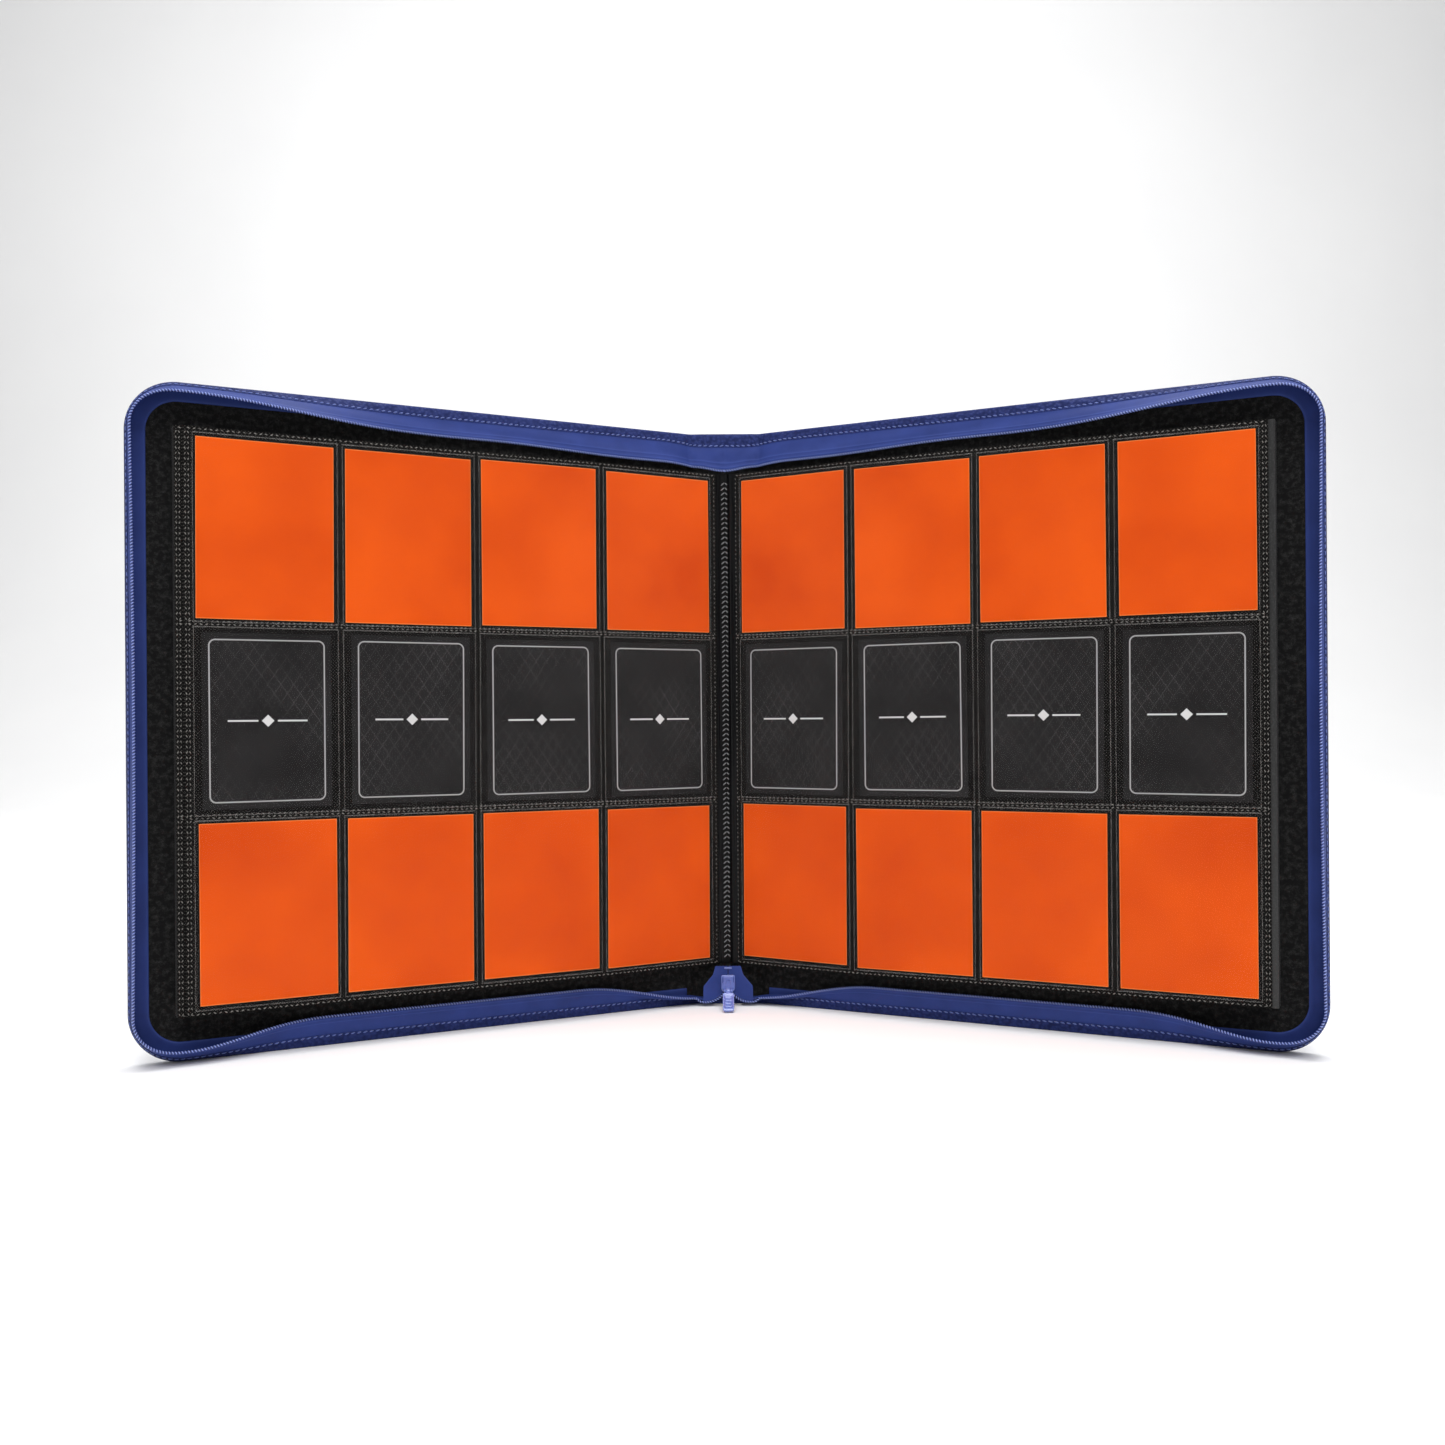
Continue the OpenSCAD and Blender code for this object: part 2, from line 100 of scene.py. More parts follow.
CASE_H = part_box("spine_skin")[1].z / MM
OPEN = math.radians(JOINTS["right_cover_fold"]["range_deg"][1])
HALF_SPINE, FOLD_DEPTH = joint_place("right_cover_fold")
LEAF_HINGE_X, LEAF_HINGE_Y = joint_place("right_leaves_turn")
TURN_Y = joint_place("leaf_turn")[1]


def cover_reach():
    """Width of a cover from its fold to its free edge."""
    fold = np.array([HALF_SPINE, LINING_Y + FOLD_DEPTH])
    outward = np.array([math.cos(OPEN), -math.sin(OPEN)])
    corners = np.array([v.co[:2] for v in frame["nodes"]["right_skin"].data.vertices]) / MM
    return float(((corners - fold) @ outward).max())


COVER_W = cover_reach()
# A panel's thickness, and the heights above the lining of the skin's inner face and the lining's back.
PANEL_T = 3.6
SKIN_IN = -2.8
LINING_BACK = -0.8
CORNER_R = 25.0
RUN_START = 5.0
RUN_END = COVER_W - CORNER_R
SIDE_LEN = CASE_H - 2 * CORNER_R

# The zip wall: a grained strip (the gusset) on a low root, then the tape, which carries the coil.
GUSSET_LEN, GUSSET_T, ROOT_H = 6.0, 1.1, 1.6
TAPE_LEN, TAPE_T = 8.8, 0.6
COIL_R = 0.8
# Lean of the wall in degrees: beside the spine, at the corners, and along and at the ends of the side.
SPINE_LEAN, CORNER_LEAN, SIDE_LEAN, SIDE_END_LEAN = 80.0, 28.0, 8.0, 4.0
# Shares of a top or bottom run over which the lean falls off from the spine.
TOP_FOLD_SHARE, LOW_FOLD_SHARE = 0.5, 0.26
# The wall folded over the spine: half its width, how far its strip hangs at the top and at the bottom,
# what the top tape gains beside it, and how far the tape's edge hangs beside the middle and at it.
FLAP_HALF, FLAP_DROP, LOW_DROP = 16.0, 8.0, 3.0
TAPE_EXTRA, TAPE_SIDE_DROP, TAPE_MID_DROP = 2.8, 19.0, 21.0

# Leaves in each stack, numbered from the top one.
LEAVES = 10
PITCH, WEB_T, LEAF_T = 1.0, 0.26, 0.88
POCKET_W, POCKET_H = 72.0, 95.0
COLUMNS, ROWS = 4, 3
INNER_MARGIN, OUTER_MARGIN, LEAF_EDGE = 2.5, 3.0, 1.5
LEAF_W = INNER_MARGIN + COLUMNS * POCKET_W + OUTER_MARGIN
LEAF_H = ROWS * POCKET_H + 2 * LEAF_EDGE
LEAF_Z = (CASE_H - LEAF_H) / 2
TURN_X = (LEAF_HINGE_Y - TURN_Y) * math.sin(OPEN) - LEAF_HINGE_X * math.cos(OPEN)
LEAF_START = TURN_X + 3.4
LEAF_TOP = LEAF_HINGE_X * math.sin(OPEN) + (LEAF_HINGE_Y - TURN_Y) * math.cos(OPEN)
BEND_X = LEAF_START + INNER_MARGIN + POCKET_W
INNER_PITCH = 0.28
LEFT_STAGGER, RIGHT_STAGGER = 4.0, 3.0
CARD_W, CARD_H = 66.0, 89.0
DARK_W, DARK_H = 62.0, 87.0

# The slider and the tape ends, in the spine's frame.
TAPE_Y = -10.0
PIN_Y = joint_place("pull_tab_swing")[1]
PIN_Z = JOINTS["pull_tab_swing"]["pos_m"][2] / MM
TAB_HANG = -math.radians(JOINTS["pull_tab_swing"]["range_deg"][0])
SLIDER_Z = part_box("slider_crown")[0].z / MM
SLIDER_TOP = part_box("slider_crown")[1].z / MM


def smooth(t):
    """0 to 1 with level ends, for t from 0 to 1."""
    t = np.clip(t, 0.0, 1.0)
    return t * t * (3 - 2 * t)


def mix(a, b, t):
    return a + (b - a) * t


# ---------- Places ----------

# The case bends smoothly within this distance of each fold.
FOLD_ZONE = 6.0


def word(side):
    """side is -1 for the left half of the binder and 1 for the right half, all through this script."""
    return "left" if side < 0 else "right"


def spine_xyz(x, y, z):
    """From the spine's own frame (y = 0 on its lining, negative towards the reader) to the row frame."""
    x, y, z = np.broadcast_arrays(x, y, z)
    return np.stack([x, y + LINING_Y, z], axis=-1).astype(float)


def case_xyz(side, xu, h, z):
    """A point of the case: xu is measured from the middle of the spine over the fold along the panels,
    and h above the lining."""
    xu, h, z = np.broadcast_arrays(np.asarray(xu, float), h, z)
    q = xu - HALF_SPINE
    angle = OPEN * smooth((q + FOLD_ZONE) / (2 * FOLD_ZONE))
    up = h + FOLD_DEPTH
    x = HALF_SPINE + q * np.cos(angle) - up * np.sin(angle)
    y = FOLD_DEPTH - q * np.sin(angle) - up * np.cos(angle)
    return np.stack([side * x, y + LINING_Y, z], axis=-1)


def blend_case(piece, side):
    """Bakes a piece of the case's transform into its mesh; it works out the places where the fold starts and
    ends, but does not use them.
    """
    start, end = [Vector(case_xyz(side, HALF_SPINE + d, 0, CASE_H / 2)) * MM for d in (-FOLD_ZONE, FOLD_ZONE)]
    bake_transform(piece)


def leaf_level(number):
    return LEAF_TOP - (number - 1) * PITCH


def inner_level(number):
    """Height of a leaf at its bound edge, where the leaves close up on each other."""
    if number > 2:
        return leaf_level(LEAVES) + INNER_PITCH * (LEAVES - number)
    return inner_level(3) + (0.75 if number == 2 else 1.7)


def wave(u, z):
    """Gentle waves that all the leaves share, so that they stay clear of each other."""
    fade = smooth((u - 20) / 60)
    ripple = np.sin(u / 41 + 0.9) * np.sin(z / 57 + 0.4) + 0.45 * np.sin(u / 19 + z / 31)
    return 0.32 * fade * ripple


def leaf_xyz(side, number, u, off, z):
    """A point of a leaf: u outwards from its hinge, off its middle surface towards the reader."""
    u, off, z = np.broadcast_arrays(np.asarray(u, float), off, z)
    stagger = 0.0
    if number > 1:
        stagger = LEFT_STAGGER if side < 0 else RIGHT_STAGGER
    high, low = leaf_level(number), inner_level(number)
    slope = (high - low) / (BEND_X - LEAF_START)
    gap = (BEND_X - u) * slope
    round_off = 5 * slope
    h = high - 0.5 * (gap + np.sqrt(gap * gap + round_off * round_off)) + off + wave(u + stagger, z)
    u = u + stagger
    x = LEAF_HINGE_X + u * math.cos(OPEN) - h * math.sin(OPEN)
    y = LEAF_HINGE_Y - u * math.sin(OPEN) - h * math.cos(OPEN)
    return np.stack([side * x, y + LINING_Y, z], axis=-1)


# ---------- Mesh tools ----------

def grid_faces(n, m, wrap_n=False, wrap_m=False):
    """Quads of an n by m grid of points."""
    faces = []
    for i in range(n if wrap_n else n - 1):
        for j in range(m if wrap_m else m - 1):
            a, b = (i + 1) % n, (j + 1) % m
            faces.append((i * m + j, i * m + b, a * m + b, a * m + j))
    return faces


def add_layer(mesh, name, kind, values):
    """Numbers on a mesh's points, for the materials to read."""
    layer = mesh.attributes.new(name, kind, "POINT")
    layer.data.foreach_set("value" if kind == "FLOAT" else "vector", values.astype(np.float32).ravel())


class Shape:
    """Points, faces and the flat coordinates that the materials read, gathered before the mesh is made."""

    def __init__(self):
        self.points, self.flat, self.wear_and_highlight, self.faces, self.count = [], [], [], [], 0

    def add(self, points, faces, flat=None, wear_and_highlight=0.0):
        points = np.asarray(points, float).reshape(-1, 3)
        flat = points if flat is None else np.asarray(flat, float).reshape(-1, 3)
        self.points.append(points)
        self.flat.append(flat)
        self.wear_and_highlight.append(np.broadcast_to(np.asarray(wear_and_highlight, float).reshape(-1), (len(points),)))
        self.faces.extend(tuple(i + self.count for i in f) for f in faces)
        self.count += len(points)

    def add_many(self, points, faces, flat=None, wear_and_highlight=0.0):
        """points is copies x corners x 3: the same faces for each copy."""
        copies, corners = points.shape[:2]
        every = [tuple(i + c * corners for i in f) for c in range(copies) for f in faces]
        self.add(points, every, flat, wear_and_highlight)

    def sheet(self, top, bottom, flat_top, flat_bottom=None, wear_and_highlight=0.0):
        """A thin closed solid between two grids of the same size."""
        n, m = top.shape[:2]
        upper = grid_faces(n, m)
        lower = [tuple(i + n * m for i in reversed(f)) for f in upper]
        edge = [(0, j) for j in range(m)] + [(i, m - 1) for i in range(1, n)]
        edge += [(n - 1, j) for j in range(m - 2, -1, -1)] + [(i, 0) for i in range(n - 2, 0, -1)]
        ring = [i * m + j for i, j in edge]
        rim = []
        for k, a in enumerate(ring):
            b = ring[(k + 1) % len(ring)]
            rim.append((b, a, a + n * m, b + n * m))
        flat_bottom = flat_top if flat_bottom is None else flat_bottom
        points = np.concatenate([top.reshape(-1, 3), bottom.reshape(-1, 3)])
        flat = np.concatenate([flat_top.reshape(-1, 3), flat_bottom.reshape(-1, 3)])
        wear_and_highlight = np.broadcast_to(wear_and_highlight, (n, m)).reshape(-1)
        self.add(points, upper + lower + rim, flat, np.concatenate([wear_and_highlight, wear_and_highlight]))

    def tube(self, rings, flat=None, wear_and_highlight=0.0, closed=False):
        """A closed skin over rings x corners x 3 points, with a cap at each end unless the path is closed."""
        n, m = rings.shape[:2]
        faces = grid_faces(n, m, wrap_n=closed, wrap_m=True)
        if not closed:
            faces += [tuple(range(m - 1, -1, -1)), tuple(range((n - 1) * m, n * m))]
        self.add(rings, faces, flat, wear_and_highlight)

    def make(self, name, material, slot, nodes=(), sharp=None):
        """The Blender object, in metres in the row frame, which stands for the CAD nodes."""
        mesh = bpy.data.meshes.new(name)
        mesh.from_pydata((np.concatenate(self.points) * MM).tolist(), [], self.faces)
        add_layer(mesh, "flat", "FLOAT_VECTOR", np.concatenate(self.flat))
        add_layer(mesh, "wear_and_highlight", "FLOAT", np.concatenate(self.wear_and_highlight))
        b = bmesh.new()
        b.from_mesh(mesh)
        bmesh.ops.recalc_face_normals(b, faces=b.faces)
        b.to_mesh(mesh)
        b.free()
        mesh.polygons.foreach_set("use_smooth", [True] * len(mesh.polygons))
        if sharp is not None:
            mesh.set_sharp_from_angle(angle=math.radians(sharp))
        mesh.materials.append(material)
        obj = bpy.data.objects.new(name, mesh)
        bpy.context.scene.collection.objects.link(obj)
        if nodes:
            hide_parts(*nodes)
        return obj


def circle(sides):
    """The angles of a circle's corners."""
    return np.arange(sides) * 2 * math.pi / sides


def path_length(line):
    """Distance along a line of points, at each point."""
    return np.concatenate([[0], np.cumsum(np.linalg.norm(np.diff(line, axis=0), axis=1))])


def unit(vectors):
    return vectors / np.linalg.norm(vectors, axis=1)[:, None]


def flat_of(*values):
    """Flat coordinates, in millimetres, stacked from arrays that broadcast together."""
    return np.stack(np.broadcast_arrays(*[np.asarray(v, float) for v in values]), axis=-1)


def dome(long, wide, high, sides=8):
    """A small oval bump: two rings and a top, as (along, across, up), and its faces."""
    a = circle(sides)
    low = np.stack([long * np.cos(a), wide * np.sin(a), 0 * a], axis=1)
    mid = np.stack([0.7 * long * np.cos(a), 0.7 * wide * np.sin(a), 0 * a + 0.75 * high], axis=1)
    points = np.concatenate([low, mid, [[0, 0, high]]])
    faces = [(i, (i + 1) % sides, sides + (i + 1) % sides, sides + i) for i in range(sides)]
    faces += [(sides + i, sides + (i + 1) % sides, 2 * sides) for i in range(sides)]
    faces.append(tuple(range(sides - 1, -1, -1)))
    return points, faces


def plate(outline, layers):
    """Rings of an outline (x, z) pulled towards its middle, as rings x corners x 3: layers are (scale, y)."""
    outline = np.asarray(outline, float)
    middle = (outline.min(0) + outline.max(0)) / 2
    rings = []
    for scale, y in layers:
        at = middle + (outline - middle) * scale
        rings.append(np.stack([at[:, 0], np.full(len(at), y), at[:, 1]], axis=1))
    return np.array(rings)


# ---------- Materials ----------

class Look:
    """A material's nodes, with short calls for what the materials here share."""

    def __init__(self, name):
        self.material = bpy.data.materials.new(name)
        self.material.use_nodes = True
        self.tree = self.material.node_tree
        self.shader = self.tree.nodes["Principled BSDF"]

    def node(self, kind, **settings):
        made = self.tree.nodes.new(kind)
        for key, value in settings.items():
            setattr(made, key, value)
        return made

    def put(self, value, socket):
        """Links another node's output to a socket, or sets the socket's own number or colour."""
        if isinstance(value, bpy.types.NodeSocket):
            self.tree.links.new(value, socket)
        else:
            socket.default_value = value

    def feed(self, node, **values):
        """Puts each value on the node's input of that name, in which _ stands for a space."""
        for key, value in values.items():
            self.put(value, node.inputs[key.replace("_", " ")])
        return node

    def attribute(self, name, output="Vector"):
        return self.node("ShaderNodeAttribute", attribute_name=name).outputs[output]

    # One number per point that marks worn edges and painted highlights, for the materials to lighten.
    def wear_and_highlight(self):
        return self.attribute("wear_and_highlight", "Fac")

    def flat(self, scale=(1, 1, 1), turn=0.0):
        """The flat coordinates, scaled and turned."""
        made = self.node("ShaderNodeMapping")
        self.feed(made, Scale=scale, Rotation=(0, 0, turn), Vector=self.attribute("flat"))
        return made.outputs["Vector"]

    def solid(self):
        """Coordinates for what has no flat ones."""
        return self.node("ShaderNodeTexCoord").outputs["Object"]

    def noise(self, scale, detail=3.0, rough=0.55, vector=None, distortion=0.0):
        made = self.node("ShaderNodeTexNoise")
        self.feed(made, Scale=scale, Detail=detail, Roughness=rough, Distortion=distortion)
        return self.feed(made, Vector=vector or self.flat()).outputs["Fac"]

    def pebbles(self, scale):
        """Distance from the middles of rounded cells."""
        made = self.node("ShaderNodeTexVoronoi", feature="SMOOTH_F1")
        return self.feed(made, Scale=scale, Vector=self.flat()).outputs["Distance"]

    def bands(self, scale, direction="X", vector=None):
        made = self.node("ShaderNodeTexWave", bands_direction=direction)
        return self.feed(made, Scale=scale, Vector=vector or self.flat()).outputs["Fac"]

    def maths(self, operation, a, b=0.5):
        made = self.node("ShaderNodeMath", operation=operation)
        self.put(a, made.inputs[0])
        self.put(b, made.inputs[1])
        return made.outputs[0]

    def times(self, a, b):
        return self.maths("MULTIPLY", a, b)

    def span(self, value, low, high, out_low=0.0, out_high=1.0):
        made = self.node("ShaderNodeMapRange", clamp=True)
        self.feed(made, Value=value, From_Min=low, From_Max=high, To_Min=out_low, To_Max=out_high)
        return made.outputs["Result"]

    def cloudy(self, value, low=0.0, high=1.0):
        """A number from low to high that follows a noise, most of which lies from 0.3 to 0.7."""
        return self.span(value, 0.3, 0.7, low, high)

    def blend(self, factor, a, b):
        """Mixes two colours, or a colour with another socket."""
        made = self.node("ShaderNodeMix", data_type="RGBA")
        self.feed(made, Factor=factor)
        first, second, result = [s for s in (*made.inputs, *made.outputs) if s.type == "RGBA"]
        for value, socket in ((a, first), (b, second)):
            self.put((*value, 1) if isinstance(value, tuple) else value, socket)
        return result

    def bump(self, height, distance, strength=1.0):
        made = self.node("ShaderNodeBump")
        return self.feed(made, Distance=distance * MM, Strength=strength, Height=height).outputs["Normal"]

    def finish(self, colour, roughness, normal=None, gloss=0.5, **values):
        """Feeds the shader; gloss is its specular level."""
        self.feed(self.shader, Base_Color=colour, Roughness=roughness, Specular_IOR_Level=gloss, **values)
        if normal is not None:
            self.feed(self.shader, Normal=normal)
        return self.material


def leatherette():
    """Pebble-grained, with lighter, smoother pebble tops, and lighter edges that are worn and also carry a
    painted highlight.
    """
    look = Look("leatherette")
    pebbles = look.pebbles(0.62)
    fine = look.noise(2.6, 4)
    height = look.maths("SUBTRACT", look.times(fine, 0.25), pebbles)
    tops = look.span(pebbles, 0.12, 0.62, 1.0, 0.0)
    base = look.blend(tops, (0.007, 0.012, 0.060), (0.017, 0.028, 0.125))
    base = look.blend(look.cloudy(look.noise(0.02), 0.0, 0.35), base, (0.021, 0.034, 0.150))
    base = look.blend(look.times(look.wear_and_highlight(), look.span(fine, 0.35, 0.6)), base, (0.05, 0.08, 0.30))
    return look.finish(base, look.span(tops, 0, 1, 0.75, 0.48), look.bump(height, 0.6), 0.12)


def tape():
    """Smooth woven zip tape with fine ribs across it and a slight sheen."""
    look = Look("zip_tape")
    ribs = look.bands(0.62, "X")
    cloud = look.noise(0.05, 4)
    height = look.maths("ADD", look.times(ribs, 0.7), look.times(look.bands(0.9, "Y"), 0.3))
    base = look.blend(look.cloudy(cloud), (0.016, 0.030, 0.140), (0.024, 0.044, 0.200))
    base = look.blend(look.times(ribs, 0.25), base, (0.034, 0.060, 0.250))
    base = look.blend(look.wear_and_highlight(), base, (0.06, 0.10, 0.36))
    sheen = dict(Sheen_Weight=0.03, Sheen_Roughness=0.4, Sheen_Tint=(0.35, 0.45, 1.0, 1))
    return look.finish(base, look.cloudy(cloud, 0.48, 0.60), look.bump(height, 0.05), 0.16, **sheen)


def binding_cloth():
    """The smooth blue binding over the lining's edge."""
    look = Look("facing_cloth")
    cloud = look.noise(0.04, 4)
    height = look.maths("ADD", look.times(look.bands(1.3, "DIAGONAL"), 0.3), look.noise(1.4))
    base = look.blend(look.cloudy(cloud), (0.015, 0.028, 0.130), (0.022, 0.040, 0.180))
    base = look.blend(look.wear_and_highlight(), base, (0.04, 0.07, 0.26))
    return look.finish(base, look.cloudy(cloud, 0.5, 0.62), look.bump(height, 0.05), 0.12, Sheen_Weight=0.02)


def coil():
    """Moulded nylon coil, light blue, with painted highlights on the crowns that face the reader and painted
    shade on the rest of the wire.
    """
    look = Look("zip_teeth")
    cloud = look.noise(0.6, 2)
    base = look.blend(look.wear_and_highlight(), (0.008, 0.014, 0.080), (0.30, 0.38, 0.78))
    base = look.blend(look.span(cloud, 0.35, 0.65, 0.0, 0.25), base, (0.10, 0.16, 0.62))
    return look.finish(base, look.cloudy(cloud, 0.28, 0.42), look.bump(cloud, 0.02))


def thread(name, low, high):
    """Twisted sewing thread."""
    look = Look(name)
    twist = look.bands(1.6, "DIAGONAL")
    rough = look.span(twist, 0, 1, 0.6, 0.45)
    return look.finish(look.blend(twist, low, high), rough, look.bump(twist, 0.08), 0.3, Sheen_Weight=0.3)


def felt():
    """Matt black felt: short matted fibres with paler, rubbed patches."""
    look = Look("felt")
    fibres = look.noise(2.2, 6, 0.7, distortion=1.5)
    clumps = look.noise(0.35, 5, 0.65)
    rubbed = look.times(look.span(clumps, 0.45, 0.75), look.span(fibres, 0.4, 0.7))
    base = look.blend(rubbed, (0.0075, 0.0075, 0.0077), (0.080, 0.080, 0.077))
    rough = look.span(fibres, 0, 1, 0.85, 1.0)
    return look.finish(base, rough, look.bump(fibres, 0.25), 0.06, Sheen_Weight=0.03, Sheen_Roughness=0.6)


def web():
    """Black plastic-coated weave: a diamond net of small glossy crossings."""
    look = Look("web")
    net = [look.bands(0.27, "X", look.flat(turn=math.radians(turn))) for turn in (45, -45)]
    crossing = look.times(net[0], net[1])
    peaks = look.span(crossing, 0.45, 0.95)
    shine = look.times(peaks, look.span(look.noise(0.35), 0.35, 0.65, 0.25, 1.0))
    base = look.blend(shine, (0.0025, 0.0024, 0.0024), (0.075, 0.070, 0.064))
    return look.finish(base, look.span(peaks, 0, 1, 0.58, 0.34), look.bump(crossing, 0.12), 0.05)


def weld():
    """Pressed weld marks: black film melted into the weave, with painted highlights on their tops."""
    look = Look("weld_marks")
    cloud = look.noise(0.5)
    lit = look.times(look.wear_and_highlight(), look.span(cloud, 0.3, 0.6, 0.35, 1.0))
    base = look.blend(lit, (0.004, 0.0038, 0.0038), (0.24, 0.23, 0.215))
    return look.finish(base, look.cloudy(cloud, 0.25, 0.45), look.bump(cloud, 0.03), 0.15)


def satin_black(name, low, high, rough):
    """Smooth black plastic film with faint streaks."""
    look = Look(name)
    streaks = look.noise(0.5, 4, vector=look.flat(scale=(1, 1, 0.04)))
    base = look.blend(look.cloudy(streaks), low, high)
    return look.finish(base, look.cloudy(streaks, rough, rough + 0.12), look.bump(streaks, 0.05), 0.1)


def film():
    """Clear, glossy pocket film."""
    look = Look("film")
    ripple = look.noise(0.035)
    tint = look.blend(look.cloudy(ripple), (0.020, 0.018, 0.018), (0.035, 0.032, 0.032))
    return look.finish(tint, 0.2, look.bump(ripple, 0.5, 0.3), 0.3, Alpha=0.05)


def film_edge():
    """The pressed rim of a pocket, where the film catches the light."""
    look = Look("film_edge")
    ripple = look.noise(0.5)
    tint = look.blend(look.cloudy(ripple), (0.03, 0.028, 0.027), (0.20, 0.19, 0.18))
    return look.finish(tint, 0.25, look.bump(ripple, 0.1), 0.3, Alpha=0.35)


def orange_card():
    """Satin orange card under its pocket film, with soft clouds of light and dark."""
    look = Look("orange_card")
    cloud = look.noise(0.016, 3, 0.5)
    fine = look.noise(0.9, 4, 0.6)
    base = look.blend(look.span(cloud, 0.32, 0.68), (0.600, 0.056, 0.001), (0.780, 0.092, 0.003))
    base = look.blend(look.cloudy(fine, 0.0, 0.10), base, (0.80, 0.13, 0.012))
    base = look.blend(look.wear_and_highlight(), base, (0.92, 0.28, 0.07))
    return look.finish(base, look.cloudy(fine, 0.42, 0.52), look.bump(cloud, 1.2, 0.4), 0.06)


def card_line(look, x, z, half_w, half_h, corner, width):
    """1 on the outline of a round-cornered rectangle, from card coordinates x and z, and how far past its
    straight sides a point is."""
    wide = look.maths("SUBTRACT", look.maths("ABSOLUTE", x), half_w)
    tall = look.maths("SUBTRACT", look.maths("ABSOLUTE", z), half_h)
    inner = look.maths("MAXIMUM", wide, tall)
    squares = []
    for value in (wide, tall):
        past = look.maths("MAXIMUM", look.maths("ADD", value, corner), 0.0)
        squares.append(look.times(past, past))
    length = look.maths("SQRT", look.maths("ADD", squares[0], squares[1]))
    off = look.maths("ABSOLUTE", look.maths("SUBTRACT", length, corner))
    near = look.span(off, width / 2, width / 2 + 0.12, 1.0, 0.0)
    return look.times(near, look.span(inner, -corner - 0.5, -corner - 0.2, 0.0, 1.0)), inner


def card_lattice(look, x, z):
    """1 on the lines of a faint diamond lattice."""
    lines = []
    for sign in (1, -1):
        across = look.maths("ADD", look.times(x, sign * 0.16), look.times(z, 0.11))
        lines.append(look.span(look.maths("PINGPONG", across, 0.5), 0.0, 0.045, 1.0, 0.0))
    return look.maths("MAXIMUM", lines[1], lines[0])


def card_mark(look, x, z):
    """1 on a lozenge in the card's middle and on the rule at each side of it."""
    wide, tall = look.maths("ABSOLUTE", x), look.maths("ABSOLUTE", z)
    rule = look.times(look.span(tall, 0.35, 0.47, 1.0, 0.0), look.span(wide, 19, 19.2, 1.0, 0.0))
    rule = look.times(rule, look.span(wide, 4.6, 4.8, 0.0, 1.0))
    return look.maths("MAXIMUM", rule, look.span(look.maths("ADD", wide, tall), 2.9, 3.1, 1.0, 0.0))


def black_card():
    """Near-black card: a thin grey border, a faint lattice, and a plain rule with a lozenge."""
    look = Look("black_card")
    split = look.feed(look.node("ShaderNodeSeparateXYZ"), Vector=look.attribute("card"))
    x, z = split.outputs["X"], split.outputs["Z"]
    border, inner = card_line(look, x, z, DARK_W / 2 - 3.4, DARK_H / 2 - 3.4, 3.0, 0.55)
    cloud = look.noise(0.03)
    lattice = look.times(card_lattice(look, x, z), look.span(inner, -0.6, -0.3, 1.0, 0.0))
    lattice = look.times(lattice, look.span(cloud, 0.35, 0.65, 0.15, 1.0))
    base = look.blend(look.cloudy(cloud), (0.0085, 0.0078, 0.0080), (0.0170, 0.0160, 0.0165))
    base = look.blend(look.times(lattice, 0.9), base, (0.060, 0.058, 0.058))
    base = look.blend(border, base, (0.36, 0.36, 0.36))
    base = look.blend(card_mark(look, x, z), base, (0.62, 0.62, 0.62))
    return look.finish(base, look.cloudy(cloud, 0.40, 0.52), look.bump(cloud, 1.2, 0.4), 0.12)


def enamel():
    """Royal blue enamel on the cast slider, lighter on its rims, lugs and pin as painted highlights."""
    look = Look("slider_enamel")
    cloud = look.noise(0.8)
    base = look.blend(look.cloudy(cloud), (0.062, 0.095, 0.340), (0.080, 0.120, 0.410))
    base = look.blend(look.wear_and_highlight(), base, (0.14, 0.20, 0.55))
    coat = dict(Coat_Weight=0.5, Coat_Roughness=0.22)
    return look.finish(base, look.cloudy(cloud, 0.32, 0.42), look.bump(look.noise(3.0), 0.03), **coat)


def tab_plastic():
    """Glossy moulded plastic of the pull tab, with painted highlights on its rims, ribs and eye."""
    look = Look("tab_plastic")
    cloud = look.noise(0.7)
    base = look.blend(look.cloudy(cloud), (0.080, 0.125, 0.420), (0.110, 0.165, 0.500))
    base = look.blend(look.wear_and_highlight(), base, (0.26, 0.34, 0.72))
    coat = dict(Coat_Weight=0.8, Coat_Roughness=0.10)
    return look.finish(base, look.cloudy(cloud, 0.22, 0.32), look.bump(cloud, 0.05), 0.6, **coat)


def cardboard():
    """Grey-brown board with flecks, inside the panels."""
    look = Look("board")
    flecks = look.noise(1.1, 5, 0.7, vector=look.solid())
    base = look.blend(look.cloudy(flecks), (0.26, 0.21, 0.15), (0.40, 0.34, 0.26))
    return look.finish(base, look.cloudy(flecks, 0.8, 0.95), look.bump(flecks, 0.1))


def leaf_edge():
    """Side of a filled leaf: web between layers of film and card."""
    look = Look("leaf_edge")
    net = look.noise(1.2)
    base = look.blend(look.bands(1.1, "Y"), (0.005, 0.005, 0.005), (0.028, 0.027, 0.028))
    base = look.blend(look.span(net, 0.5, 0.7, 0.0, 0.4), base, (0.05, 0.05, 0.052))
    return look.finish(base, look.cloudy(net, 0.28, 0.5), look.bump(net, 0.06))


